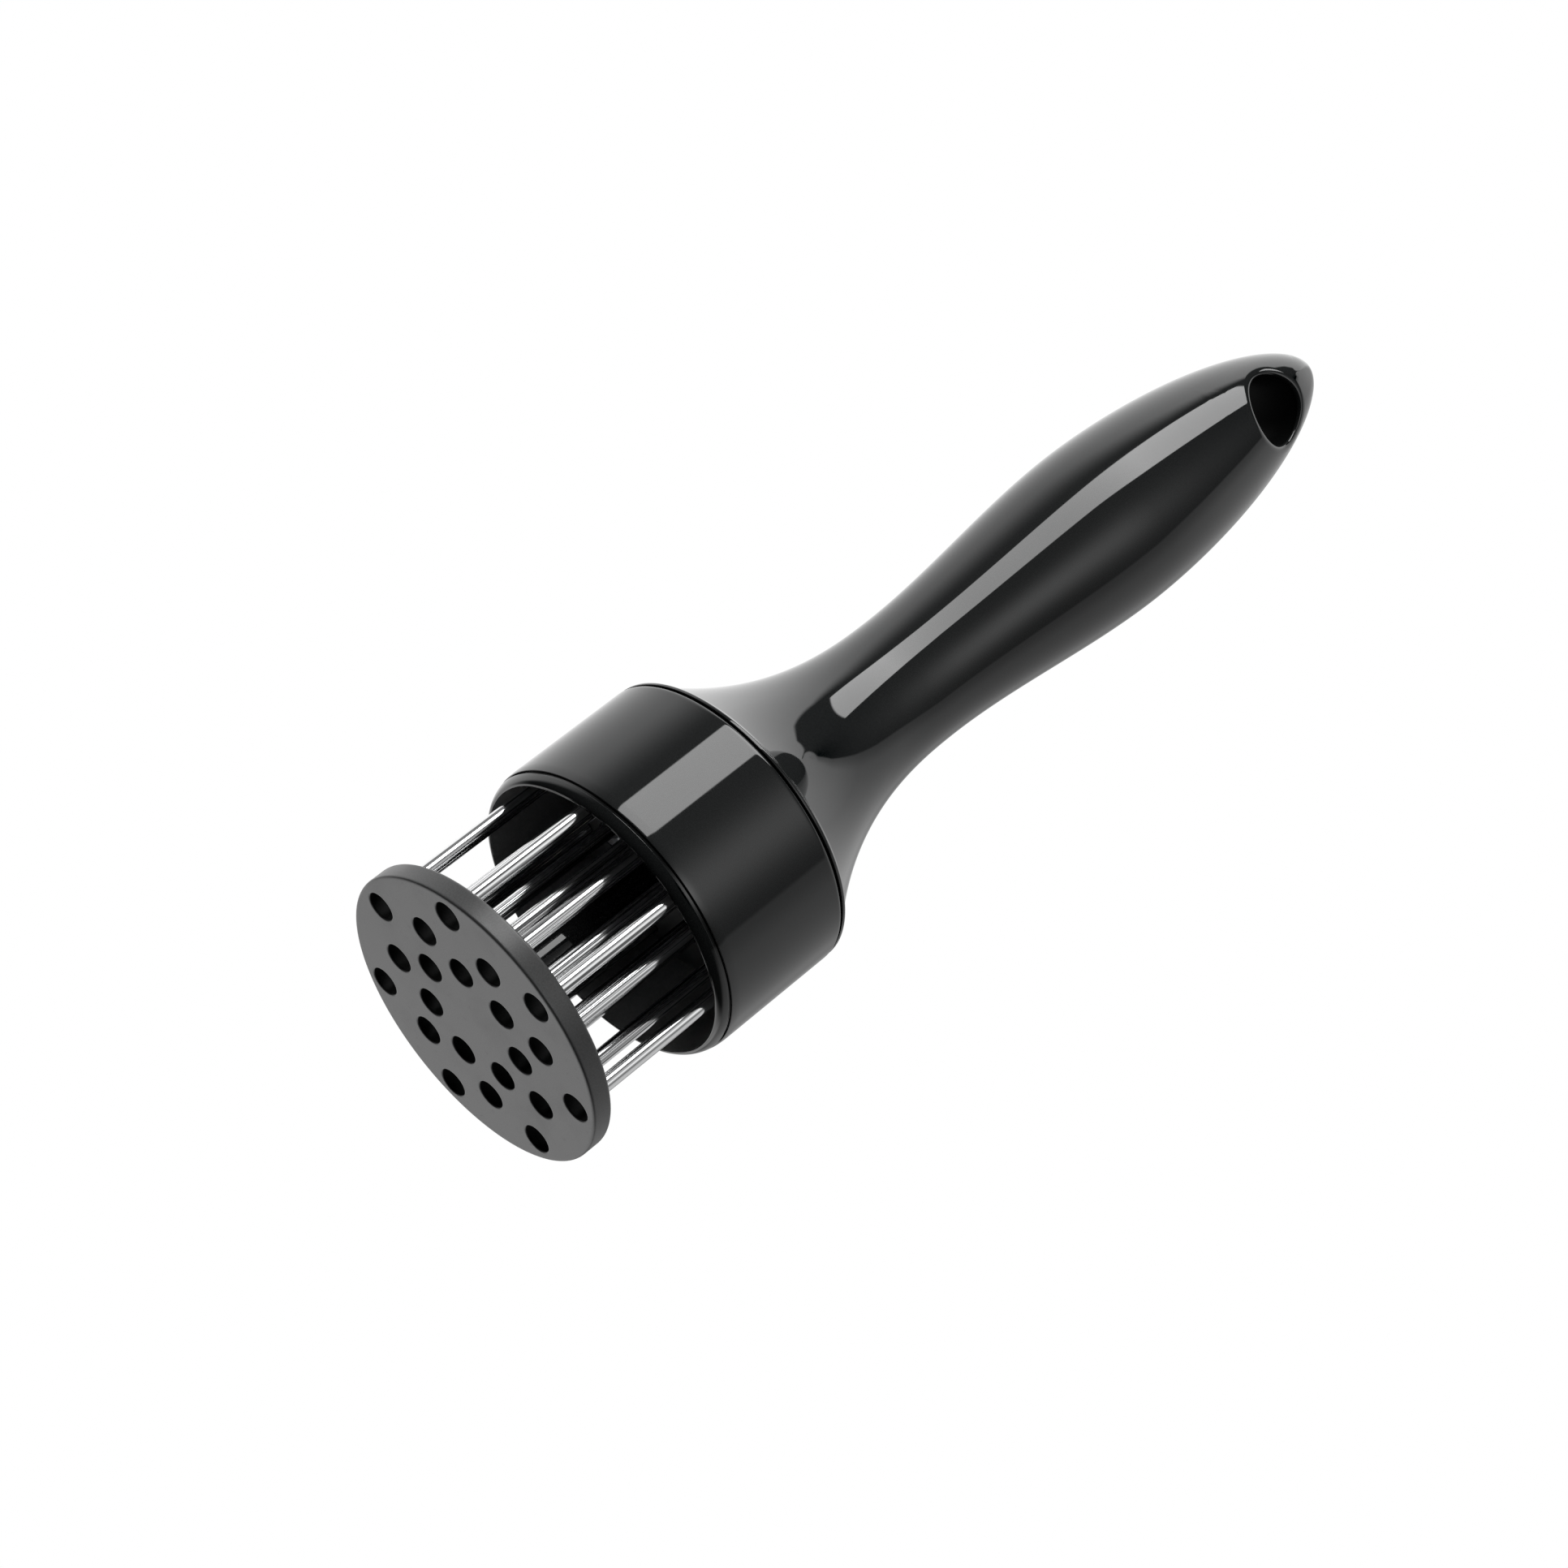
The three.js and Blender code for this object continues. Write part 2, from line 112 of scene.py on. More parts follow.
def centre_of(node):
    """Middle of a CAD node in plan"""
    low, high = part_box(node)
    return (low.x + high.x) / 2, (low.y + high.y) / 2


# Kinds of setting


def settings_of(kind, rows, scale=1, **usual):
    """Settings of one kind from rows of a default and a description. Each is named for its key"""
    return {
        key: kind(name=key.replace("_", " ").capitalize(), description=words, default=value * scale, **usual)
        for key, (value, words) in rows.items()
    }


def lengths(**rows):
    """Sizes in metres, given in millimetres"""
    return settings_of(FloatProperty, rows, MM, min=0, precision=5, subtype="DISTANCE", unit="LENGTH")


def angles(**rows):
    """Angles, given in degrees"""
    return settings_of(FloatProperty, rows, math.radians(1), precision=4, subtype="ANGLE", unit="ROTATION")


def numbers(**rows):
    """Plain numbers, such as an exponent or a brightness"""
    return settings_of(FloatProperty, rows, min=0, precision=3)


def shares(**rows):
    """Numbers from 0 to 1"""
    return settings_of(FloatProperty, rows, min=0, max=1, subtype="FACTOR")


def colours(**rows):
    """Linear colours"""
    return settings_of(FloatVectorProperty, rows, min=0, max=1, size=3, subtype="COLOR")


class HandleSettings(bpy.types.PropertyGroup):
    """Sizes of the handle"""

    __annotations__ = lengths(
        neck_diameter=(22.1, "Width at the thinnest place"),
        neck_height=(92, "Height of the thinnest place"),
        grip_diameter=(28.8, "Width at the fullest place of the grip"),
        grip_height=(139, "Height of the fullest place of the grip"),
        bell_diameter=(50, "Width of the bell's lip"),
        lip_gap=(0.16, "Parting line between the bell and the collar"),
        lip_height=(0.55, "Straight band round the bell's lip"),
        lip_round=(0.12, "Round on the edges of that band"),
        spigot_diameter=(35.4, "Spigot that fills the collar's flange"),
        bore_diameter=(16.4, "Blind bore for the return spring"),
        edge_round=(0.25, "Round on the edges that the collar hides"),
        pilot_depth=(8.3, "Depth of the clamp screws' holes"),
        pilot_round=(0.05, "Round on the mouths of those holes"),
        hole_height=(174.3, "Height of the hang hole's middle"),
        hole_mouth=(12.6, "Width of the hang hole at its mouths"),
        hole_middle=(10.8, "Width of the hang hole at the handle's axis"),
        hole_round=(1.3, "Round on the edges of the hang hole's mouths"),
    ) | numbers(
        flare_power=(2.35, "How late the bell opens"),
        tail_fullness=(1.9, "How long the tail stays full"),
        tail_roundness=(1.8, "How blunt the end of the tail is"),
    )


class CollarSettings(bpy.types.PropertyGroup):
    """Sizes of the collar"""

    __annotations__ = lengths(
        wall=(1.6, "Thickness of the cup's wall"),
        lip_length=(4, "Length of the rounded lip"),
        lip_edge=(0.35, "Round where the lip meets the inside"),
        groove_setback=(1.75, "From the mouth to the groove"),
        groove_width=(0.6, "Width of the fine groove"),
        groove_depth=(0.45, "Depth of the fine groove"),
        groove_round=(0.07, "Round on the groove's edges"),
        rear_round=(0.8, "Round on the rear edge"),
        flange_thickness=(2, "Thickness of the inward flange"),
        flange_bore=(36, "Width of the hole in the flange"),
        bore_round=(0.2, "Round on the edges of that hole"),
        flange_round=(0.3, "Round between the flange and the wall"),
    )


class GuardSettings(bpy.types.PropertyGroup):
    """Sizes of the guard disc and its stem"""

    __annotations__ = lengths(
        thickness=(3.5, "Thickness of the disc"),
        edge_round=(0.5, "Round on both edges of the rim"),
        hole_diameter=(4.8, "Width of each needle hole"),
        hole_round=(0.3, "Round on the front edge of each needle hole"),
        back_round=(0.04, "Round on the back edge of each needle hole"),
        socket_diameter=(14.6, "Outside of the stem's socket"),
        socket_bore=(11.4, "Inside of the stem's socket"),
        socket_round=(0.25, "Round on the socket's edges"),
        stem_round=(0.5, "Round on the stem's ends"),
    )


class NeedleSettings(bpy.types.PropertyGroup):
    """Sizes of the needles and of what holds them"""

    __annotations__ = lengths(
        point_length=(2.6, "Length of the ground point"),
        point_blunting=(0.06, "Radius left at the very tip"),
        shoulder_round=(0.12, "Round between the point and the shank"),
        top_round=(0.3, "Round on the top edge"),
        hole_diameter=(2.9, "Width of the needles' and screws' holes"),
        recess_diameter=(4.8, "Width of the screw heads' recesses"),
        recess_depth=(2.1, "Depth of the screw heads' recesses"),
        hole_round=(0.08, "Round on the edges of the holes"),
        plate_round=(0.3, "Round on the rim of the needle plate"),
        plate_bore=(15, "Hole in the plates for the guide bush"),
        bush_bore=(11.6, "Inside of the guide bush"),
        bush_diameter=(14.6, "Outside of the guide bush"),
        bush_flange=(1.5, "Thickness of the guide bush's flange"),
    )


class ScrewSettings(bpy.types.PropertyGroup):
    """Sizes of the screws and the stop washer"""

    __annotations__ = lengths(
        clamp_shank=(2.5, "Width of the clamp screws"),
        clamp_head=(1.8, "Height of the clamp screws' heads"),
        stop_shank=(3, "Width of the stop screw"),
        stop_head=(2.2, "Height of the stop screw's head"),
        slot_width=(0.8, "Width of the screwdriver slot"),
        slot_depth=(0.8, "Depth of the screwdriver slot"),
        head_round=(0.35, "Round on the screw heads"),
        washer_bore=(3.4, "Hole in the stop washer"),
        stop_hole_depth=(10.8, "Depth of the screw hole in the stem"),
    )


class SpringSettings(bpy.types.PropertyGroup):
    """Sizes of the return spring"""

    __annotations__ = (
        lengths(
            wire=(1.4, "Diameter of the wire"),
            closed_gap=(0.6, "Gap between the closed end curls"),
            mean_diameter=(11.6, "Width of the coil, from wire middle to wire middle"),
        )
        | settings_of(IntProperty, {"curls": (14, "Number of curls")}, min=4)
        | numbers(end_curls=(1.5, "Closed curls at each end"))
    )


class FinishSettings(bpy.types.PropertyGroup):
    """Colours and roughness of the finishes"""

    __annotations__ = (
        colours(
            gloss_black=((0.0132, 0.0142, 0.0144), "High-gloss moulded plastic"),
            satin_black=((0.05, 0.0505, 0.051), "Satin moulded plastic"),
            needle_steel=((0.78, 0.785, 0.79), "Polished needles"),
            zinc=((0.6, 0.61, 0.63), "Plated screws and plates"),
            spring_steel=((0.42, 0.43, 0.45), "Drawn spring wire"),
            nylon=((0.66, 0.63, 0.56), "Natural nylon"),
        )
        | shares(
            gloss_roughness=(0.03, "Roughness of the gloss plastic"),
            satin_roughness=(0.36, "Roughness of the satin plastic"),
            cup_roughness=(0.4, "Roughness of the cup's inside"),
            hole_roughness=(0.5, "Roughness of the walls of holes"),
            nylon_roughness=(0.42, "Roughness of the nylon"),
            needle_roughness=(0.12, "Roughness of the needles"),
            metal_roughness=(0.3, "Roughness of the plated and spring steel"),
            # Painted shade: this share darkens the colour of the walls of holes so that they read as shaded
            # recesses
            shade_tone=(0.3, "Colour left on the walls of holes, which catch dirt"),
        )
        # Painted light: this factor lightens the colour of the cup's inside to stand in for the grey
        # reflections on its wall
        | numbers(washed_tone=(3.2, "How far washing has greyed the cup's inside"))
    )


class StudioSettings(bpy.types.PropertyGroup):
    """Camera, light and floor"""

    __annotations__ = (
        angles(
            azimuth=(-16.4995, "Camera's turn round the tool"),
            elevation=(-28.3735, "Camera's height over the horizon"),
            roll=(51.8138, "Camera's turn about its own view"),
        )
        | lengths(
            distance=(620, "From the camera to its target"),
            floor_radius=(900, "Where the floor has faded into the backdrop"),
            floor_drop=(0.2, "From the tool's face down to the floor"),
        )
        | settings_of(
            FloatVectorProperty,
            {"target": ((5.2517 * MM, 14.6018 * MM, 72.3817 * MM), "Point that the camera looks at")},
            subtype="TRANSLATION",
            unit="LENGTH",
        )
        | numbers(
            lens=(91.237, "Focal length in millimetres"),
            sensor=(36, "Width of the sensor in millimetres"),
            backdrop=(1, "Brightness of the backdrop that the camera sees"),
            strip=(1, "Brightness of the strip light, as a share of its usual one"),
            pale_wall=(1, "Brightness of the pale wall, as a share of its usual one"),
            grey_wall=(1, "Brightness of the grey wall, as a share of its usual one"),
            glow=(2.2, "Brightness of the small soft light at the height of the head"),
            table_light=(1.3, "Brightness of what the disc's face reflects"),
        )
        | colours(floor_colour=((0.82, 0.82, 0.82), "Pale floor"))
    )


PARTS = {
    "handle": HandleSettings,
    "collar": CollarSettings,
    "guard": GuardSettings,
    "needles": NeedleSettings,
    "screws": ScrewSettings,
    "spring": SpringSettings,
    "finish": FinishSettings,
    "studio": StudioSettings,
}


class TenderizerSettings(bpy.types.PropertyGroup):
    """All settings of the tenderizer"""

    __annotations__ = {part: PointerProperty(type=group) for part, group in PARTS.items()}


# Surfaces worked out as whole arrays


def stacked(rings):
    """Points and quads of rings of points: points j and j + 1 of a ring, where j + 1 wraps round,
    are joined to the same two points of the next ring"""
    rings = np.asarray(rings)
    rows, columns = rings.shape[:2]
    start, j = np.arange(rows - 1)[:, None] * columns, np.arange(columns)[None]
    beside = (j + 1) % columns
    quads = [start + j, start + beside, start + columns + beside, start + columns + j]
    return rings.reshape(-1, 3), np.stack(quads, axis=-1).reshape(-1, 4)


def capped(rings):
    """Stacked rings, closed at both ends by a fan from the end ring's middle"""
    first, last = (np.broadcast_to(ring.mean(axis=0), ring.shape) for ring in (rings[0], rings[-1]))
    return stacked([first, *rings, last])


def circle(radius, sides, centre=(0, 0)):
    """Points at centre + radius (cos a, sin a), where a runs round in even steps"""
    a = np.arange(sides) * FULL_TURN / sides
    return np.stack([centre[0] + radius * np.cos(a), centre[1] + radius * np.sin(a)], axis=1)


def circles(radius, sides, nodes):
    """The same circle round the middle of each node"""
    return [circle(radius, sides, centre_of(node)) for node in nodes]


def turned(outline, sides, centre=(0, 0)):
    """A surface of revolution: the point r, z of the outline becomes the ring
    centre + (r cos a, r sin a, z), where a runs round in even steps"""
    radius, height = np.asarray(outline, float).T[:, :, None]
    plan = circle(1, sides)
    x, y = centre[0] + radius * plan[:, 0], centre[1] + radius * plan[:, 1]
    return stacked(np.stack([x, y, np.broadcast_to(height, x.shape)], axis=-1))


def softened(corners, cuts, steps=6):
    """An open outline with its inner corners rounded: the corner C becomes the parabola
    (1-t)^2 A + 2t(1-t) C + t^2 B, where A and B lie the cut before and after it. A point a third
    of a cut outside A and B keeps the straight stretches flat"""
    corners = np.asarray(corners, float)
    middle = corners[1:-1]
    cut = np.broadcast_to(np.asarray(cuts, float), len(middle))[:, None]
    back, ahead = corners[:-2] - middle, corners[2:] - middle
    back = back / np.linalg.norm(back, axis=1, keepdims=True) * cut
    ahead = ahead / np.linalg.norm(ahead, axis=1, keepdims=True) * cut
    t = np.linspace(0, 1, steps)[:, None, None]
    curve = middle + (1 - t) ** 2 * back + t**2 * ahead
    rounds = np.concatenate([(middle + back * 4 / 3)[None], curve, (middle + ahead * 4 / 3)[None]])
    return np.concatenate([corners[:1], rounds.transpose(1, 0, 2).reshape(-1, 2), corners[-1:]])


def mouth_of(radius, edge_round):
    """Radius at which the flat face round a rounded hole begins"""
    return radius + edge_round * 5 / 3


def lining(centre, radius, bottom, top, bottom_round, top_round, sides):
    """The wall of a round hole through a plate, with a round at both mouths"""
    low, high = (mouth_of(radius, edge_round) for edge_round in (bottom_round, top_round))
    outline = [(low, bottom), (radius, bottom), (radius, top), (high, top)]
    return turned(softened(outline, [bottom_round, top_round]), sides, centre)


def pierced(outer, holes, height):
    """A flat face at one height between the loop outer and the loops of its holes: a Delaunay
    triangulation of all their points, less the triangles whose middle lies in a hole"""
    loops, tolerance = [outer, *holes], 1e-9
    edges, start = [], 0
    for loop in loops:
        edges += [(start + k, start + (k + 1) % len(loop)) for k in range(len(loop))]
        start += len(loop)
    plan = [Vector(point) for point in np.concatenate(loops).tolist()]
    points, _, faces, *_ = delaunay_2d_cdt(plan, edges, [], 0, tolerance, True)
    points, faces = np.array([tuple(point) for point in points]), np.array(faces)
    middle = points[faces].mean(axis=1)
    kept = np.ones(len(faces), bool)
    for hole in holes:
        centre = hole.mean(axis=0)
        kept &= np.linalg.norm(middle - centre, axis=1) > np.linalg.norm(hole[0] - centre)
    return np.column_stack([points, np.full(len(points), height)]), faces[kept]


def plate(outer, bottom, top, flat, edge_round, steps, below, above, sides):
    """A round plate: its rounded rim, and two flat faces with the loops of their holes"""
    rim = softened([(flat, bottom), (outer, bottom), (outer, top), (flat, top)], edge_round, steps)
    disc = circle(flat, sides)
    return [turned(rim, sides), pierced(disc, below, bottom), pierced(disc, above, top)]


def make_piece(name, shells, finish, body, nodes, lining_finish=None, lined=None):
    """One object from shells of points and faces, welded, turned outwards and shaded smooth. It
    rides on a body and stands for its CAD nodes. The faces whose middles the test lined picks get
    the lining's finish"""
    starts = np.cumsum([0, *[len(points) for points, _ in shells]])
    points = np.concatenate([points for points, _ in shells])
    faces = [face for start, (_, part) in zip(starts, shells) for face in (part + start).tolist()]
    mesh = bpy.data.meshes.new(name)
    mesh.from_pydata(points.tolist(), [], faces)
    mesh.materials.append(finish)
    if lined:
        mesh.materials.append(lining_finish)
        middles = np.array([points[face].mean(axis=0) for face in faces])
        mesh.polygons.foreach_set("material_index", lined(middles).astype(np.int32))
    welded = bmesh.new()
    welded.from_mesh(mesh)
    bmesh.ops.remove_doubles(welded, verts=welded.verts, dist=MERGE_DISTANCE)
    bmesh.ops.recalc_face_normals(welded, faces=welded.faces)
    open_edges = sum(not edge.is_manifold for edge in welded.edges)
    welded.to_mesh(mesh)
    welded.free()
    if open_edges:
        raise RuntimeError(f"{name} has {open_edges} open edges")
    mesh.shade_smooth()
    mesh.set_sharp_from_angle(angle=SHARP_ANGLE)
    piece = bpy.data.objects.new(name, mesh)
    bpy.context.scene.collection.objects.link(piece)
    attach(piece, body)
    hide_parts(*nodes)
    return piece


# Handle


def handle_radius(handle, z):
    """Radius of the handle's outside at a height. Below the neck it is neck + (bell - neck) s^f,
    where s is how far down the bell it is. Up to the grip it is a smooth step from neck to grip.
    Above, it is grip (1 - u^a)^(1/b), where u is how far up the tail it is"""
    neck, grip, bell = handle.neck_diameter / 2, handle.grip_diameter / 2, handle.bell_diameter / 2
    underside = top_of("collar") + handle.lip_gap
    down = np.clip((handle.neck_height - z) / (handle.neck_height - underside), 0, None)
    up = np.clip((z - handle.neck_height) / (handle.grip_height - handle.neck_height), 0, 1)
    beyond = np.clip((z - handle.grip_height) / (top_of("handle") - handle.grip_height), 0, 1)
    lower = neck + (bell - neck) * down**handle.flare_power + (grip - neck) * up * up * (3 - 2 * up)
    return lower * (1 - beyond**handle.tail_fullness) ** (1 / handle.tail_roundness)


def handle_outline(handle):
    """Outside of the handle from the spigot's rim to the tail's end, as radius and height. The
    heights lie closer together near the bell's lip and near the tail's end"""
    bell_steps, grip_steps, tail_steps, crowding = 48, 44, 64, 1.2
    underside, top = top_of("collar") + handle.lip_gap, top_of("handle")
    start, neck, grip = underside + 2 * handle.lip_height, handle.neck_height, handle.grip_height
    heights = [
        start + (neck - start) * np.linspace(0, 1, bell_steps) ** crowding,
        neck + (grip - neck) * np.linspace(0, 1, grip_steps)[1:],
        grip + (top - grip) * np.sin(np.linspace(0, math.pi / 2, tail_steps)[1:]),
    ]
    heights = np.concatenate(heights)
    outside = np.column_stack([handle_radius(handle, heights), heights])
    spigot, bottom, rounding = handle.spigot_diameter / 2, bottom_of("handle"), handle.edge_round
    bell = handle.bell_diameter / 2
    under = [
        (spigot - 2 * rounding, bottom),
        (spigot, bottom),
        (spigot, underside),
        (bell, underside),
        (bell, underside + handle.lip_height),
        tuple(outside[0]),
    ]
    under = softened(under, [rounding, rounding, handle.lip_round, 2 * handle.lip_round])
    return np.concatenate([under[:-1], outside])


def hang_hole_radius(handle, y):
    """The hang hole's radius m + (M - m)(y / R)^2 at a distance from the handle's axis"""
    middle, mouth = handle.hole_middle / 2, handle.hole_mouth / 2
    half_width = float(handle_radius(handle, handle.hole_height))
    return middle + (mouth - middle) * (y / half_width) ** 2


def hang_hole_side(handle, rim):
    """The rings from a rim on the handle's surface into the hang hole, on the side of +Y. On the
    surface y is sqrt(R(z)^2 - x^2), and the mouth is rounded by a parabola from the surface over
    the sharp edge to the hole's wall. The edge's radius settles as the last one is put in again"""
    tries, surface_rings, crowding, round_rings, wall_rings = 30, 12, 1.5, 9, 12
    centre = handle.hole_height
    around = np.arctan2(rim[:, 2] - centre, rim[:, 0])
    across, along = np.cos(around), np.sin(around)

    def surface(x, z):
        return np.stack([x, np.sqrt(handle_radius(handle, z) ** 2 - x * x), z], axis=-1)

    def on_surface(radius):
        return surface(radius * across, centre + radius * along)

    def on_wall(y):
        radius = hang_hole_radius(handle, y)
        return np.stack([radius * across, y, centre + radius * along], axis=-1)

    radius = np.full(len(rim), handle.hole_mouth / 2)
    for _ in range(tries):
        radius = hang_hole_radius(handle, on_surface(radius)[:, 1])
    edge = on_surface(radius)
    lip = on_surface(radius + handle.hole_round)
    inner = on_wall(edge[:, 1] - handle.hole_round)
    inwards = 1 - (1 - np.linspace(0, 1, surface_rings)[:, None]) ** crowding
    x, z = (rim[:, axis] * (1 - inwards) + lip[:, axis] * inwards for axis in (0, 2))
    t = np.linspace(0, 1, round_rings)[1:, None, None]
    fillet = (1 - t) ** 2 * lip + 2 * t * (1 - t) * edge + t**2 * inner
    wall = [on_wall(inner[:, 1] * (1 - s)) for s in np.linspace(0, 1, wall_rings)[1:]]
    return np.concatenate([surface(x, z), fillet, np.array(wall)])


def handle_shells(handle, pilot_radius):
    """The handle's surface: bore, spigot face with its screw holes, outside and hang hole"""
    outline = handle_outline(handle)
    points, faces = turned(outline, HANDLE_SIDES)
    grid = points.reshape(len(outline), HANDLE_SIDES, 3)
    rows = np.flatnonzero((outline[:, 1] > HOLE_PATCH[0]) & (outline[:, 1] < HOLE_PATCH[1]))
    low, high, quarter, reach = rows[0], rows[-1], HANDLE_SIDES // 4, HANDLE_SIDES // 6
    first, last = quarter - reach, quarter + reach
    kept = np.ones((len(outline) - 1, HANDLE_SIDES), bool)
    for side in (0, HANDLE_SIDES // 2):
        kept[low:high, side + first : side + last] = False
    rim = [
        grid[low, first:last],
        grid[low:high, last],
        grid[high, last:first:-1],
        grid[high:low:-1, first],
    ]
    side = hang_hole_side(handle, np.concatenate(rim))
    bore, bottom, rounding = handle.bore_diameter / 2, bottom_of("handle"), handle.edge_round
    bore_top, pilot_top = top_of("return_spring") + SEAT_GAP, bottom + handle.pilot_depth
    bore_mouth, pilot_mouth = bore + 2 * rounding, mouth_of(pilot_radius, handle.pilot_round)
    bore_outline = [(0, bore_top), (bore, bore_top), (bore, bottom), (bore_mouth, bottom)]
    pilot = [(pilot_mouth, bottom), (pilot_radius, bottom), (pilot_radius, pilot_top), (0, pilot_top)]
    pilot = softened(pilot, [handle.pilot_round, 4 * handle.pilot_round])
    holes = [circle(bore_mouth, HANDLE_SIDES), *circles(pilot_mouth, SMALL_HOLE_SIDES, CLAMP_SCREWS)]
    return [
        (points, faces[kept.ravel()]),
        stacked(side),
        stacked(side * (1, -1, 1)),
        turned(softened(bore_outline, [2 * rounding, rounding]), HANDLE_SIDES),
        pierced(circle(outline[0, 0], HANDLE_SIDES), holes, bottom),
        *[turned(pilot, SMALL_HOLE_SIDES, centre_of(node)) for node in CLAMP_SCREWS],
    ]


def in_hang_hole(handle, middles):
    """Picks the faces on the hang hole's wall, by their distance from the hole's axis"""
    away = np.hypot(middles[:, 0], middles[:, 2] - handle.hole_height)
    return away < hang_hole_radius(handle, middles[:, 1]) + TEST_MARGIN


# Collar


def collar_outline(collar):
    """The collar's section, once round from the inside wall. The lip is a quarter of an ellipse,
    r = inside + wall sin a and z = lip end - lip length cos a, broken by the fine groove"""
    lip_steps, upper_steps, skipped, groove_steps, wall_steps, rear_steps = 22, 14, 6, 4, 10, 9
    rear_length = 4 * MM
    outer, bottom, top = extent("collar")
    inner, lip_end = outer - collar.wall, bottom + collar.lip_length
    groove = bottom + collar.groove_setback
    groove_end = groove + collar.groove_width

    def lip(start, end, steps):
        low, high = (math.acos(min((lip_end - z) / collar.lip_length, 1)) for z in (start, end))
        a = np.linspace(low, high, steps)
        return np.column_stack([inner + collar.wall * np.sin(a), lip_end - collar.lip_length * np.cos(a)])

    before, after = lip(bottom, groove, lip_steps), lip(groove_end, lip_end, upper_steps)
    sunk, risen = before[-1, 0] - collar.groove_depth, after[0, 0] - collar.groove_depth
    cut = [before[-2], before[-1], (sunk, groove), (risen, groove_end), after[0], after[1]]
    waist, wall_end = (inner, (bottom + top) / 2), top - rear_length
    flange, bore = top - collar.flange_thickness, collar.flange_bore / 2
    inside = softened([waist, (inner, bottom), tuple(before[skipped])], collar.lip_edge)[:-1]
    rear = softened(
        [(outer, wall_end), (outer, top), (bore, top), (bore, flange), (inner, flange), waist],
        [collar.rear_round, collar.bore_round, collar.bore_round, collar.flange_round],
        rear_steps,
    )
    wall = np.column_stack([np.full(wall_steps, outer), np.linspace(lip_end, wall_end, wall_steps)])
    cut = softened(cut, collar.groove_round, groove_steps)
    return np.concatenate([inside, before[skipped:-2], cut, after[2:], wall[1:-1], rear])


def inside_collar(collar, middles):
    """Picks the faces that lie no further out than the cup's wall and below the flange's back"""
    outer, _, top = extent("collar")
    near = np.hypot(middles[:, 0], middles[:, 1]) < outer - collar.wall + TEST_MARGIN
    return near & (middles[:, 2] < top - TEST_MARGIN / 2)


# Guard


def in_needle_hole(guard, middles):
    """Picks the faces on the walls of the disc's needle holes"""
    places = np.array([centre_of(node) for node in NEEDLES])
    away = np.linalg.norm(middles[:, None, :2] - places, axis=-1).min(axis=1)
    return away < guard.hole_diameter / 2 + TEST_MARGIN


def disc_shells(guard):
    """The disc: two flat faces pierced by the needle holes, their linings, the rim and the socket"""
    outer, _, socket_top = extent("guard_disc")
    radius, thickness, flat = guard.hole_diameter / 2, guard.thickness, mouth_of(outer, -guard.edge_round)
    rounds = guard.hole_round, guard.back_round
    front, back = (circles(mouth_of(radius, r), DISC_HOLE_SIDES, NEEDLES) for r in rounds)
    back = [circle(guard.socket_diameter / 2, DISC_SIDES), *back]
    socket, bore = guard.socket_diameter / 2, guard.socket_bore / 2
    seat = bottom_of("guard_stem") - SEAT_GAP
    boss = [(socket, thickness), (socket, socket_top), (bore, socket_top), (bore, seat), (0, seat)]
    return [
        *plate(outer, 0, thickness, flat, guard.edge_round, DISC_EDGE_STEPS, front, back, DISC_SIDES),
        turned(softened(boss, guard.socket_round), DISC_SIDES),
        *[lining(centre_of(node), radius, 0, thickness, *rounds, DISC_HOLE_SIDES) for node in NEEDLES],
    ]


def stem_outline(guard, screws):
    """Half of the stem's section, from the middle of its foot to the bottom of its screw hole"""
    radius, bottom, top = extent("guard_stem")
    hole, floor, cut = screws.washer_bore / 2, top - screws.stop_hole_depth, guard.stem_round
    corners = [(0, bottom), (radius, bottom), (radius, top), (hole, top), (hole, floor), (0, floor)]
    return softened(corners, [cut, cut, cut / 3, cut / 3])


# Needles and what holds them


def needle_outline(needles, node):
    """Half of a needle's section: a ground cone with a slightly blunted tip, the shank and the top"""
    radius, bottom, top = extent(node)
    shoulder, tip = bottom + needles.point_length, needles.point_blunting
    corners = [(0, bottom), (tip, bottom), (radius, shoulder), (radius, top), (0, top)]
    return softened(corners, [tip / 2, needles.shoulder_round, needles.top_round])


def bored_plate(needles, node, flat, edge_round, below, above):
    """A plate with the bore for the guide bush, besides the holes below and above"""
    outer, bottom, top = extent(node)
    bore, rounding = needles.plate_bore / 2, needles.hole_round
    below, above = ([circle(mouth_of(bore, rounding), PLATE_SIDES), *holes] for holes in (below, above))
    return [
        *plate(outer, bottom, top, flat, edge_round, PLATE_EDGE_STEPS, below, above, PLATE_SIDES),
        lining((0, 0), bore, bottom, top, rounding, rounding, PLATE_SIDES),
    ]


def needle_plate_shells(needles):
    """The needle plate: two pierced faces, rim and bore, the needle holes, and the screw holes with
    their recesses"""
    outer, bottom, top = extent("needle_plate")
    hole, recess, rounding = needles.hole_diameter / 2, needles.recess_diameter / 2, needles.hole_round
    hole_mouth, recess_mouth = mouth_of(hole, rounding), mouth_of(recess, rounding)
    edge, shelf, sides = needles.plate_round, bottom + needles.recess_depth, SMALL_HOLE_SIDES
    stepped = [(recess_mouth, bottom), (recess, bottom), (recess, shelf)]
    stepped = softened([*stepped, (hole, shelf), (hole, top), (hole_mouth, top)], rounding)
    needle_holes = circles(hole_mouth, sides, NEEDLES)
    below = [*needle_holes, *circles(recess_mouth, sides, CLAMP_SCREWS)]
    above = [*needle_holes, *circles(hole_mouth, sides, CLAMP_SCREWS)]
    return [
        *bored_plate(needles, "needle_plate", outer - edge * 4 / 3, edge, below, above),
        *[lining(centre_of(node), hole, bottom, top, rounding, rounding, sides) for node in NEEDLES],
        *[turned(stepped, sides, centre_of(node)) for node in CLAMP_SCREWS],
    ]


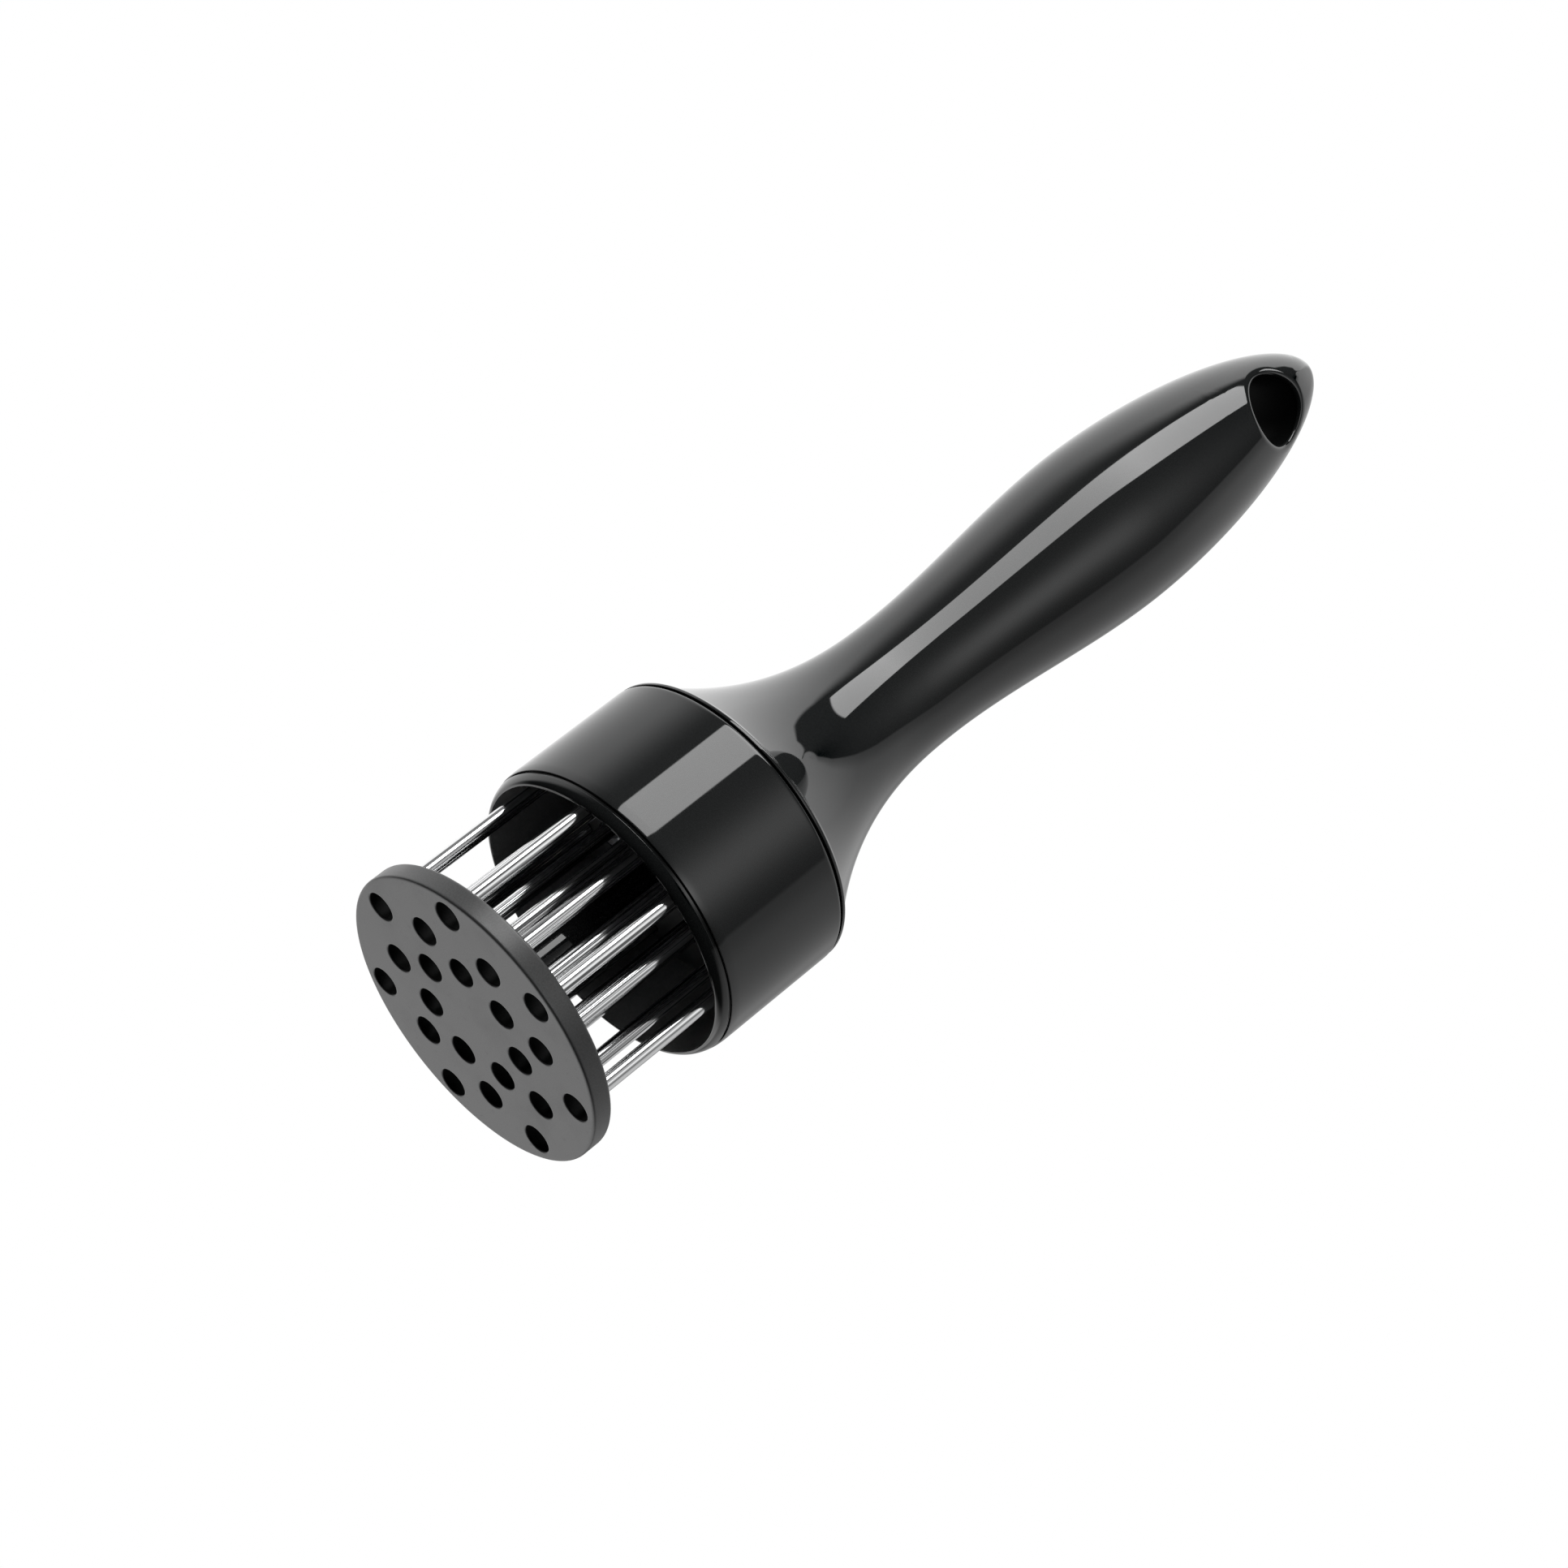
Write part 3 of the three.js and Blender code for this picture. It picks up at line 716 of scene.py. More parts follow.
def clamp_plate_shells(needles):
    """The clamp plate: two pierced faces, rim and bore, and the screw holes"""
    outer, bottom, top = extent("clamp_plate")
    hole, rounding, sides = needles.hole_diameter / 2, needles.hole_round, SMALL_HOLE_SIDES
    holes = circles(mouth_of(hole, rounding), sides, CLAMP_SCREWS)
    return [
        *bored_plate(needles, "clamp_plate", mouth_of(outer, -rounding), rounding, holes, holes),
        *[lining(centre_of(node), hole, bottom, top, rounding, rounding, sides) for node in CLAMP_SCREWS],
    ]


def bush_outline(needles):
    """The guide bush's section, once round from the middle of its bore"""
    flange, bottom, top = extent("guide_bush")
    inner, outer, seat = needles.bush_bore / 2, needles.bush_diameter / 2, top - needles.bush_flange
    middle = inner, (bottom + top) / 2
    corners = [(inner, bottom), (outer, bottom), (outer, seat), (flange, seat), (flange, top), (inner, top)]
    cuts = np.array([0.3, 0.15, 0.05, 0.15, 0.2, 0.3]) * MM
    return softened([middle, *corners, middle], cuts)


def washer_outline(screws):
    """The stop washer's section, once round from the middle of its hole, with stamped edges"""
    outer, bottom, top = extent("stop_washer")
    inner = screws.washer_bore / 2
    middle = inner, (bottom + top) / 2
    corners = [(inner, bottom), (outer, bottom), (outer, top), (inner, top)]
    cuts = np.array([0.08, 0.25, 0.08, 0.12]) * MM
    return softened([middle, *corners, middle], cuts)


def slotted_screw(screws, node, shank, head_height, up):
    """A screw with its slot facing up or down: a shank, the head's foot below the slot, and two
    halves of its top. A half's ring is an arc of the head's rim closed by the slot's side"""
    arc_steps, side_steps, round_steps, overlap = 28, 8, 6, 0.05 * MM
    head, start, end = extent(node)
    sign = 1 if up else -1
    face, tip = (end, start) if up else (start, end)
    foot, floor, centre = face - sign * head_height, face - sign * screws.slot_depth, centre_of(node)
    body = [(0, floor), (head, floor), (head, foot), (shank, foot), (shank, tip + sign * shank), (0, tip)]
    body = softened(body, np.array([0.02, 0.12, 0.15, 0.2]) * MM)
    cut, t = screws.head_round, np.linspace(0, math.pi / 2, round_steps)
    inset = np.concatenate([[0], cut * (1 - np.cos(t))])
    height = np.concatenate([[floor - sign * overlap], face - sign * cut * (1 - np.sin(t))])
    halves = []
    for side in (1, -1):
        rings = []
        for back, z in zip(inset, height):
            radius, chord = head - back, screws.slot_width / 2 + back / 4
            reach = math.acos(chord / radius)
            a = np.linspace(-reach, reach, arc_steps)
            rim = radius * np.column_stack([np.cos(a), np.sin(a)])
            along = np.linspace(1, -1, side_steps + 2)[1:-1] * rim[-1, 1]
            ring = np.concatenate([rim, np.column_stack([np.full(side_steps, chord), along])])
            rings.append(np.column_stack([ring * side + centre, np.full(len(ring), z)]))
        halves.append(capped(rings))
    return [turned(body, SCREW_SIDES, centre), *halves]


# Return spring


def spring_shells(spring):
    """The spring's tube: a circle of wire carried along r (cos, sin) of 2 pi n, whose height rises
    by the closed pitch per curl, plus the rest of the length over the open curls"""
    wire_sides, curl_steps = 14, 44
    bottom, top = bottom_of("return_spring"), top_of("return_spring")
    wire, radius = spring.wire / 2, spring.mean_diameter / 2
    closed_pitch = spring.wire + spring.closed_gap
    climb = top - bottom - spring.wire - closed_pitch * spring.curls
    n = np.linspace(0, spring.curls, spring.curls * curl_steps + 1)[:, None]
    opened = np.clip((n - spring.end_curls) / (spring.curls - 2 * spring.end_curls), 0, 1)
    height, turn = bottom + wire + closed_pitch * n + climb * opened, FULL_TURN * n
    slope = np.arctan2(np.gradient(height[:, 0]), np.gradient(turn[:, 0]) * radius)[:, None]
    section = np.arange(wire_sides)[None] * FULL_TURN / wire_sides
    outwards, upwards = wire * np.cos(section), wire * np.sin(section)
    lean = -upwards * np.sin(slope)
    x = (radius + outwards) * np.cos(turn) - lean * np.sin(turn)
    y = (radius + outwards) * np.sin(turn) + lean * np.cos(turn)
    return [capped(np.stack([x, y, height + upwards * np.cos(slope)], axis=-1))]


# Materials


class Net:
    """A node tree that is filled with short calls"""

    def __init__(self, tree):
        self.tree = tree
        tree.nodes.clear()

    def add(self, kind, inputs=None, **settings):
        """A node with its settings. An input is linked where its value is an output, or else set"""
        node = self.tree.nodes.new(kind)
        for name, value in settings.items():
            setattr(node, name, value)
        for name, value in (inputs or {}).items():
            if isinstance(value, bpy.types.NodeSocket):
                self.tree.links.new(value, node.inputs[name])
            else:
                node.inputs[name].default_value = value
        return node

    def calc(self, operation, *values):
        """The output of a Math node"""
        return self.add("ShaderNodeMath", dict(enumerate(values)), operation=operation).outputs[0]

    def times(self, *values):
        """The product of several values"""
        product = values[0]
        for value in values[1:]:
            product = self.calc("MULTIPLY", product, value)
        return product

    def step(self, value, low, high, start=0.0, end=1.0):
        """A smooth step from start at low to end at high"""
        inputs = {"Value": value, "From Min": low, "From Max": high, "To Min": start, "To Max": end}
        return self.add("ShaderNodeMapRange", inputs, interpolation_type="SMOOTHSTEP").outputs["Result"]

    def blend(self, factor, low, high):
        """A number between two"""
        return self.add("ShaderNodeMix", {0: factor, 2: low, 3: high}, data_type="FLOAT").outputs[0]

    def tint(self, factor, dark, light):
        """A colour between two"""
        inputs = {0: factor, 6: (*dark, 1), 7: (*light, 1)}
        return self.add("ShaderNodeMix", inputs, data_type="RGBA").outputs[2]

    def noise(self, place, scale, detail=2.0, roughness=0.5):
        """The value of a Noise Texture"""
        inputs = {"Vector": place, "Scale": scale, "Detail": detail, "Roughness": roughness}
        return self.add("ShaderNodeTexNoise", inputs).outputs[0]

    def levels(self, value, points, span=180.0):
        """A line through points of value and level"""
        peak = max(level for _, level in points)
        node = self.add("ShaderNodeFloatCurve", {"Value": self.calc("DIVIDE", value, span)})
        curve = node.mapping.curves[0]
        while len(curve.points) < len(points):
            curve.points.new(0.5, 0.5)
        for point, (place, level) in zip(curve.points, points):
            point.location = place / span, level / peak
            point.handle_type = "VECTOR"
        node.mapping.update()
        return self.calc("MULTIPLY", node.outputs["Value"], peak)


def make_group(name, inputs, outputs):
    """An empty shader node group, its net, and its inputs by name"""
    group = bpy.data.node_groups.new(name, "ShaderNodeTree")
    group.interface.new_socket("Vector", in_out="INPUT", socket_type="NodeSocketVector")
    for label, value in inputs.items():
        socket = group.interface.new_socket(label, in_out="INPUT", socket_type="NodeSocketFloat")
        socket.default_value = value
    for label, kind in outputs.items():
        group.interface.new_socket(label, in_out="OUTPUT", socket_type=kind)
    net = Net(group)
    return group, net, net.add("NodeGroupInput").outputs


def handling_marks():
    """Node group: wiping smudges and sparse hairlines, added to a roughness"""
    if "Handling marks" in bpy.data.node_groups:
        return bpy.data.node_groups["Handling marks"]
    inputs = {"Roughness": 0.1, "Smudges": 0.03, "Hairlines": 0.03}
    group, net, given = make_group("Handling marks", inputs, {"Roughness": "NodeSocketFloat"})
    smudge = net.step(net.noise(given["Vector"], 90, detail=5.0, roughness=0.62), 0.45, 0.72)
    slanted = {"Vector": given["Vector"], "Rotation": (0.5, 0.9, 0.3), "Scale": (900, 900, 25)}
    streaks = net.noise(net.add("ShaderNodeMapping", slanted).outputs[0], 1)
    hairline = net.step(streaks, 0.66, 0.74)
    marks = net.calc("ADD", net.times(smudge, given["Smudges"]), net.times(hairline, given["Hairlines"]))
    net.add("NodeGroupOutput", {"Roughness": net.calc("ADD", given["Roughness"], marks)})
    return group


def moulding_skin():
    """Node group: the slow waves of a moulded surface and its fine grain, as a normal and a mask"""
    if "Moulding skin" in bpy.data.node_groups:
        return bpy.data.node_groups["Moulding skin"]
    inputs = {"Waves": 0.1, "Grain": 0.1, "Grain Scale": 4000}
    outputs = {"Normal": "NodeSocketVector", "Pits": "NodeSocketFloat"}
    group, net, given = make_group("Moulding skin", inputs, outputs)
    wave = net.noise(given["Vector"], 70, detail=1.0)
    waved = net.add("ShaderNodeBump", {"Strength": given["Waves"], "Distance": 0.1 * MM, "Height": wave})
    grain = net.noise(given["Vector"], given["Grain Scale"], detail=3.0, roughness=0.7)
    inputs = {"Strength": given["Grain"], "Distance": 0.05 * MM, "Height": grain, "Normal": waved.outputs[0]}
    grained = net.add("ShaderNodeBump", inputs)
    net.add("NodeGroupOutput", {"Normal": grained.outputs[0], "Pits": net.step(grain, 0.35, 0.65)})
    return group


def drawn_lines():
    """Node group: fine lines along the tool's axis or across it, as a mask and a normal. A line
    lies where the noise is close to its mean"""
    if "Drawn lines" in bpy.data.node_groups:
        return bpy.data.node_groups["Drawn lines"]
    inputs = {"Across": 6000, "Along": 60, "Depth": 0.1}
    outputs = {"Mask": "NodeSocketFloat", "Normal": "NodeSocketVector"}
    group, net, given = make_group("Drawn lines", inputs, outputs)
    scale = net.add("ShaderNodeCombineXYZ", {"X": given["Across"], "Y": given["Across"], "Z": given["Along"]})
    place = net.add("ShaderNodeVectorMath", {0: given["Vector"], 1: scale.outputs[0]}, operation="MULTIPLY")
    lines = net.noise(place.outputs[0], 1, detail=1.0)
    mask = net.step(net.calc("ABSOLUTE", net.calc("SUBTRACT", lines, 0.5)), 0.0, 0.055)
    bump = net.add("ShaderNodeBump", {"Strength": given["Depth"], "Distance": 0.05 * MM, "Height": lines})
    net.add("NodeGroupOutput", {"Mask": mask, "Normal": bump.outputs[0]})
    return group


def new_material(name):
    """A material, its net and its object coordinates"""
    material = bpy.data.materials.new(name)
    material.use_nodes = True
    net = Net(material.node_tree)
    return material, net, net.add("ShaderNodeTexCoord").outputs["Object"]


def lightened(tone, by):
    """A colour made lighter or darker"""
    return tuple(channel * by for channel in tone)


def finished(net, place, roughness, smudges, hairlines, inputs):
    """Ends a material: handling marks on its roughness, its shader and its output"""
    given = {"Vector": place, "Roughness": roughness, "Smudges": smudges, "Hairlines": hairlines}
    marks = net.add("ShaderNodeGroup", given, node_tree=handling_marks())
    shader = net.add("ShaderNodeBsdfPrincipled", {"Roughness": marks.outputs[0], **inputs})
    net.add("ShaderNodeOutputMaterial", {"Surface": shader.outputs[0]})


def plastic(name, tone, roughness, waves=0.05, grain=0.05, smudges=0.05, hairlines=0.02, shine=0.5):
    """Moulded plastic: slow waves, a fine grain and handling marks over a slightly uneven colour"""
    if name in bpy.data.materials:
        return bpy.data.materials[name]
    material, net, place = new_material(name)
    given = {"Vector": place, "Waves": waves, "Grain": grain}
    skin = net.add("ShaderNodeGroup", given, node_tree=moulding_skin()).outputs
    inputs = {
        "Base Color": net.tint(skin["Pits"], lightened(tone, 0.85), lightened(tone, 1.15)),
        "Normal": skin["Normal"],
        "IOR": 1.5,
        "Specular IOR Level": shine,
    }
    finished(net, place, roughness, smudges, hairlines, inputs)
    return material


def metal(name, tone, roughness, across, along, smudges, depth=0.15, darkness=0.8):
    """Drawn or plated steel: fine lines, which are rougher and darker, and handling marks"""
    if name in bpy.data.materials:
        return bpy.data.materials[name]
    material, net, place = new_material(name)
    given = {"Vector": place, "Across": across, "Along": along, "Depth": depth}
    lines = net.add("ShaderNodeGroup", given, node_tree=drawn_lines()).outputs
    rough = net.blend(lines["Mask"], roughness * 1.5, roughness)
    inputs = {
        "Base Color": net.tint(lines["Mask"], lightened(tone, darkness), tone),
        "Metallic": 1.0,
        "Normal": lines["Normal"],
    }
    finished(net, place, rough, smudges, smudges, inputs)
    return material


def gloss_black(finish):
    """High-gloss black plastic of the handle, collar and stem"""
    tone, roughness = finish.gloss_black, finish.gloss_roughness
    return plastic("Gloss black", tone, roughness, waves=0.02, grain=0.0, smudges=0.02)


def satin_black(finish):
    """Satin black plastic of the disc and needle plate"""
    return plastic("Satin black", finish.satin_black, finish.satin_roughness, grain=0.12, hairlines=0.06)


def hang_hole_painted_shade(finish):
    """Dull black of the hang hole's wall, with painted shade: its colour is darkened and its shine nearly
    taken away, so the hole reads as shaded
    """
    tone = lightened(finish.gloss_black, finish.shade_tone)
    return plastic("Hang hole painted shade", tone, finish.hole_roughness, shine=0.01)


def needle_hole_painted_shade(finish):
    """Satin black on the walls of the disc's needle holes, darkened in colour and shine as painted shade
    inside the holes
    """
    tone = lightened(finish.satin_black, finish.shade_tone)
    return plastic("Needle hole painted shade", tone, finish.hole_roughness, grain=0.12, shine=0.1)


def cup_painted_light(finish):
    """Satin black of the cup's inside, lightened as painted light that stands in for the grey reflections on
    its wall
    """
    tone = lightened(finish.satin_black, finish.washed_tone)
    return plastic("Cup painted light", tone, finish.cup_roughness, grain=0.12)


def nylon(finish):
    """Natural nylon of the guide bush"""
    return plastic("Natural nylon", finish.nylon, finish.nylon_roughness, hairlines=0.03)


def needle_steel(finish):
    """Polished steel of the needles, with fine dark lines that are partly grinding lines and partly painted
    reflection of the dark surroundings
    """
    tone, roughness = finish.needle_steel, finish.needle_roughness
    # Partly grinding lines and partly painted reflection: the strong darkness darkens the colour along the
    # lines to stand in for dark streaks reflected in the needles
    lines = {"across": 1100, "along": 2, "depth": 0.012, "darkness": 0.18}
    return metal("Needle steel", tone, roughness, smudges=0.02, **lines)


def plated_steel(finish):
    """Zinc plating of the screws and plates"""
    return metal("Plated steel", finish.zinc, finish.metal_roughness, across=1800, along=1800, smudges=0.08)


def spring_wire(finish):
    """Drawn wire of the return spring"""
    tone, roughness = finish.spring_steel, finish.metal_roughness
    return metal("Spring wire", tone, roughness, across=900, along=9000, smudges=0.05)


# Studio


# Turn is the angle round the tool from +X, and tilt the angle down from straight up, in degrees.
# A table's rows are a tilt and the turn or the brightness there

# The strip light: its far side, its brightness, its foot, its soft edge and the bulge of its top
STRIP_SIDE = [(0, 244), (30, 237), (62, 229.5), (90, 230)]
STRIP_LEVEL = [(25, 5.0), (35, 5.6), (43, 6.3), (52, 7.3), (60, 6.0), (66, 5.3), (82, 5.3)]
STRIP_FOOT = 80.0
STRIP_SOFTNESS = 0.6
BULGE_TURN, BULGE_WIDTH, BULGE_HEIGHT = 214.0, 22.0, 2.5

# The pale wall: where it starts to fade, where it has faded, and its brightness
PALE_START = [(0, 226), (3.5, 212), (8, 179), (15, 172), (27, 181), (45, 172), (62, 156), (90, 155)]
PALE_END = [(0, 242), (3.5, 226), (8, 188), (15, 180), (27, 190), (45, 196), (62, 194), (90, 193)]
PALE_LEVEL = [(0, 1.35), (12, 1.6), (35, 1.7), (45, 1.45), (55, 1.2), (62, 1.05), (90, 1.05)]

# The grey wall: its edge, its brightness, its soft edge, and the share from which it rises past it
GREY_EDGE = [
    (0, 180), (2.6, 240), (4.3, 278), (11, 294), (23, 303), (33, 308), (43, 310), (57, 316), (90, 316)
]
GREY_LEVEL = [(0, 1.2), (14, 1.0), (26, 0.7), (45, 0.68), (55, 0.5), (62, 0.47), (90, 0.47)]
GREY_SOFTNESS, GREY_RISE, GREY_EDGE_SHARE = 2.0, 24.0, 0.55

# The turns over which the grey wall gives way to the pale one, and where both walls' turn centres
WALLS_MEET = 62.0, 80.0
WALL_APEX = 0.06

# The darker hollow in the grey wall: its turns and their softness, its tilts and its depth
HOLLOW_TURN = 42.0, 66.0, 8.0
HOLLOW_TILT, HOLLOW_DEPTH = (48.0, 56.0), 0.4

# The small soft light's fade, and the dark wall's own light
GLOW_LEVEL = [(35, 0.05), (45, 0.09), (55, 0.2), (62, 0.4), (70, 0.5), (78, 0.8), (85, 1), (90, 0.6), (96, 0)]
DARK_LEVEL = [(0, 0.02), (35, 0.03), (48, 0.09), (62, 0.14), (75, 0.14), (90, 0.04)]

# The light from below: its turns and their softness, and the tilts at which it takes over
TABLE_TURN = 16.0, 112.0, 16.0
HORIZON = 91.0, 103.0


def studio_world(studio):
    """The light round the tool, by direction: a strip light, a pale wall beside it, a dark wall
    with a small soft light, and a grey wall. The camera itself sees a plain backdrop"""
    world = bpy.data.worlds.new("Studio")
    world.use_nodes = True
    net = Net(world.node_tree)
    axes = net.add("ShaderNodeSeparateXYZ", {0: net.add("ShaderNodeTexCoord").outputs["Generated"]}).outputs
    tilt = net.calc("DEGREES", net.calc("ARCCOSINE", axes["Z"]))

    def turned_about(apex):
        y = net.calc("MULTIPLY_ADD", axes["Z"], -apex, axes["Y"])
        return net.calc("WRAP", net.calc("DEGREES", net.calc("ARCTAN2", y, axes["X"])), 360.0, 0.0)

    turn, wall_turn = turned_about(0.0), turned_about(WALL_APEX)

    def line(value, at, level, slope):
        return net.calc("MULTIPLY_ADD", net.calc("SUBTRACT", value, at), slope, level)

    def between(value, low, high, soft):
        rise = net.step(value, net.calc("SUBTRACT", low, soft), net.calc("ADD", low, soft))
        fall = net.step(value, net.calc("SUBTRACT", high, soft), net.calc("ADD", high, soft), 1.0, 0.0)
        return net.times(rise, fall)

    bulge = net.calc("DIVIDE", net.calc("SUBTRACT", turn, BULGE_TURN), BULGE_WIDTH)
    bulge = net.times(bulge, bulge, BULGE_HEIGHT)
    strip_top = net.calc("ADD", line(turn, at=192.0, level=29.0, slope=-6 / 45), bulge)
    strip_start = line(tilt, at=30.0, level=192.0, slope=8 / 35)
    strip = net.times(
        between(turn, strip_start, net.levels(tilt, STRIP_SIDE), STRIP_SOFTNESS),
        between(tilt, strip_top, STRIP_FOOT, STRIP_SOFTNESS),
        net.levels(tilt, STRIP_LEVEL),
        studio.strip,
    )
    pale = net.times(
        net.step(wall_turn, *WALLS_MEET),
        net.step(wall_turn, net.levels(tilt, PALE_START), net.levels(tilt, PALE_END), 1.0, 0.0),
        net.levels(tilt, PALE_LEVEL),
        studio.pale_wall,
    )
    hollow = net.times(between(turn, *HOLLOW_TURN), net.step(tilt, *HOLLOW_TILT, 0.0, HOLLOW_DEPTH))
    past_edge = net.calc("SUBTRACT", wall_turn, net.levels(tilt, GREY_EDGE))
    rise = net.step(past_edge, 0.0, GREY_RISE, GREY_EDGE_SHARE, 1.0)
    beyond = net.times(net.step(past_edge, -GREY_SOFTNESS, GREY_SOFTNESS), rise)
    grey = net.times(
        net.calc("ADD", beyond, net.step(wall_turn, *WALLS_MEET, 1.0, 0.0)),
        net.levels(tilt, GREY_LEVEL),
        net.calc("SUBTRACT", studio.grey_wall, hollow),
    )
    off = net.calc("SUBTRACT", turn, line(tilt, at=85.0, level=274.5, slope=-0.1))
    off = net.calc("DIVIDE", off, line(tilt, at=85.0, level=13.0, slope=-0.3))
    bell_curve = net.calc("EXPONENT", net.times(off, off, -1.0))
    glow = net.times(bell_curve, net.levels(tilt, GLOW_LEVEL), studio.glow)
    above = net.levels(tilt, DARK_LEVEL)
    for light in (strip, pale, grey, glow):
        above = net.calc("ADD", light, above)
    below = net.times(between(turn, *TABLE_TURN), studio.table_light)
    level = net.blend(net.step(tilt, *HORIZON), above, below)
    seen = net.blend(net.add("ShaderNodeLightPath").outputs["Is Camera Ray"], level, studio.backdrop)
    light = net.add("ShaderNodeBackground", {"Color": (1, 1, 1, 1), "Strength": seen})
    net.add("ShaderNodeOutputWorld", {"Surface": light.outputs[0]})
    return world


def floor_material(studio):
    """A pale floor that the camera sees from above only, and that fades out with distance"""
    material, net, place = new_material("Pale floor")
    fade_start, fade_end = studio.floor_radius * 0.2, studio.floor_radius * 0.98
    away = net.add("ShaderNodeVectorMath", {0: place}, operation="LENGTH").outputs["Value"]
    left = net.step(away, fade_start, fade_end, 1.0, 0.0)
    seen = net.add("ShaderNodeLightPath").outputs["Is Camera Ray"]
    front = net.calc("SUBTRACT", 1.0, net.add("ShaderNodeNewGeometry").outputs["Backfacing"])
    tone = studio.floor_colour
    speckled = net.tint(net.noise(place, 400, detail=4.0), lightened(tone, 0.985), tone)
    pale = net.add("ShaderNodeBsdfDiffuse", {"Color": speckled})
    clear = net.add("ShaderNodeBsdfTransparent")
    solid = net.times(seen, front, left)
    mixed = net.add("ShaderNodeMixShader", {0: solid, 1: clear.outputs[0], 2: pale.outputs[0]})
    net.add("ShaderNodeOutputMaterial", {"Surface": mixed.outputs[0]})
    return material


def make_floor(studio):
    """A flat round floor just under the tool, from circles of shrinking radius, facing up"""
    sides, parts = 96, (1, 0.6, 0.3, 0.1)
    drop = np.full((sides, 1), -studio.floor_drop)
    rings = [np.hstack([circle(studio.floor_radius * part, sides), drop]) for part in parts]
    points, faces = stacked(rings)
    middle = range(len(points) - sides, len(points))
    mesh = bpy.data.meshes.new("floor")
    mesh.from_pydata(points.tolist(), [], [*faces.tolist(), list(middle)])
    mesh.materials.append(floor_material(studio))
    return bpy.data.objects.new("floor", mesh)


def make_camera(studio):
    """The photograph's camera: it looks at its target from an azimuth, elevation and distance, and
    its right side is turned by the roll from level towards up"""
    a, e, roll = studio.azimuth, studio.elevation, studio.roll
    forward = Vector((-math.sin(a) * math.cos(e), math.cos(a) * math.cos(e), -math.sin(e)))
    level = Vector((math.cos(a), math.sin(a), 0))
    right = level * math.cos(roll) + level.cross(forward) * math.sin(roll)
    data = bpy.data.cameras.new("Camera")
    data.sensor_fit = "HORIZONTAL"
    data.sensor_width, data.lens = studio.sensor, studio.lens
    data.clip_start, data.clip_end = 0.01, 10
    camera = bpy.data.objects.new("Camera", data)
    turn = Matrix((right, right.cross(forward), -forward)).transposed().to_4x4()
    camera.matrix_world = Matrix.Translation(Vector(studio.target) - forward * studio.distance) @ turn
    return camera


# Operators


class Undoable:
    """What all the operators share"""

    bl_options = {"REGISTER", "UNDO"}


class TENDERIZER_OT_studio(Undoable, bpy.types.Operator):
    """Make the camera, the light and the floor"""

    bl_idname = "tenderizer.studio"
    bl_label = "Studio"

    def execute(self, context):
        scene, studio = context.scene, context.scene.tenderizer.studio
        camera, floor = make_camera(studio), make_floor(studio)
        scene.collection.objects.link(camera)
        scene.collection.objects.link(floor)
        scene.camera = camera
        scene.world = studio_world(studio)
        scene.view_settings.view_transform = "Standard"
        return {"FINISHED"}


class TENDERIZER_OT_handle(Undoable, bpy.types.Operator):
    """Make the handle"""

    bl_idname = "tenderizer.handle"
    bl_label = "Handle"

    def execute(self, context):
        part = context.scene.tenderizer
        shells = handle_shells(part.handle, part.needles.hole_diameter / 2)
        finish, wall = gloss_black(part.finish), hang_hole_painted_shade(part.finish)
        lined = partial(in_hang_hole, part.handle)
        make_piece("handle_moulding", shells, finish, FIXED_BODY, ["handle"], wall, lined)
        return {"FINISHED"}


class TENDERIZER_OT_collar(Undoable, bpy.types.Operator):
    """Make the collar"""

    bl_idname = "tenderizer.collar"
    bl_label = "Collar"

    def execute(self, context):
        part = context.scene.tenderizer
        shells = [turned(collar_outline(part.collar), COLLAR_SIDES)]
        finish, wall = gloss_black(part.finish), cup_painted_light(part.finish)
        lined = partial(inside_collar, part.collar)
        make_piece("collar_moulding", shells, finish, FIXED_BODY, ["collar"], wall, lined)
        return {"FINISHED"}


class TENDERIZER_OT_guard_disc(Undoable, bpy.types.Operator):
    """Make the guard disc with its needle holes and socket"""

    bl_idname = "tenderizer.guard_disc"
    bl_label = "Guard Disc"

    def execute(self, context):
        part = context.scene.tenderizer
        shells = disc_shells(part.guard)
        finish, wall = satin_black(part.finish), needle_hole_painted_shade(part.finish)
        lined = partial(in_needle_hole, part.guard)
        make_piece("pierced_disc", shells, finish, GUARD_BODY, ["guard_disc"], wall, lined)
        return {"FINISHED"}


class TENDERIZER_OT_guard_stem(Undoable, bpy.types.Operator):
    """Make the guard's stem"""

    bl_idname = "tenderizer.guard_stem"
    bl_label = "Guard Stem"

    def execute(self, context):
        part = context.scene.tenderizer
        shells = [turned(stem_outline(part.guard, part.screws), BUSH_SIDES)]
        finish = gloss_black(part.finish)
        make_piece("sliding_stem", shells, finish, GUARD_BODY, ["guard_stem"])
        return {"FINISHED"}


class TENDERIZER_OT_needles(Undoable, bpy.types.Operator):
    """Make the needles"""

    bl_idname = "tenderizer.needles"
    bl_label = "Needles"

    def execute(self, context):
        part = context.scene.tenderizer
        finish = needle_steel(part.finish)
        for node in NEEDLES:
            shells = [turned(needle_outline(part.needles, node), NEEDLE_SIDES, centre_of(node))]
            make_piece(f"polished_{node}", shells, finish, FIXED_BODY, [node])
        return {"FINISHED"}


class TENDERIZER_OT_plates(Undoable, bpy.types.Operator):
    """Make the needle plate and the clamp plate"""

    bl_idname = "tenderizer.plates"
    bl_label = "Plates"

    def execute(self, context):
        part = context.scene.tenderizer
        shells, finish = needle_plate_shells(part.needles), satin_black(part.finish)
        make_piece("needle_block", shells, finish, FIXED_BODY, ["needle_plate"])
        shells, finish = clamp_plate_shells(part.needles), plated_steel(part.finish)
        make_piece("clamp_disc", shells, finish, FIXED_BODY, ["clamp_plate"])
        return {"FINISHED"}


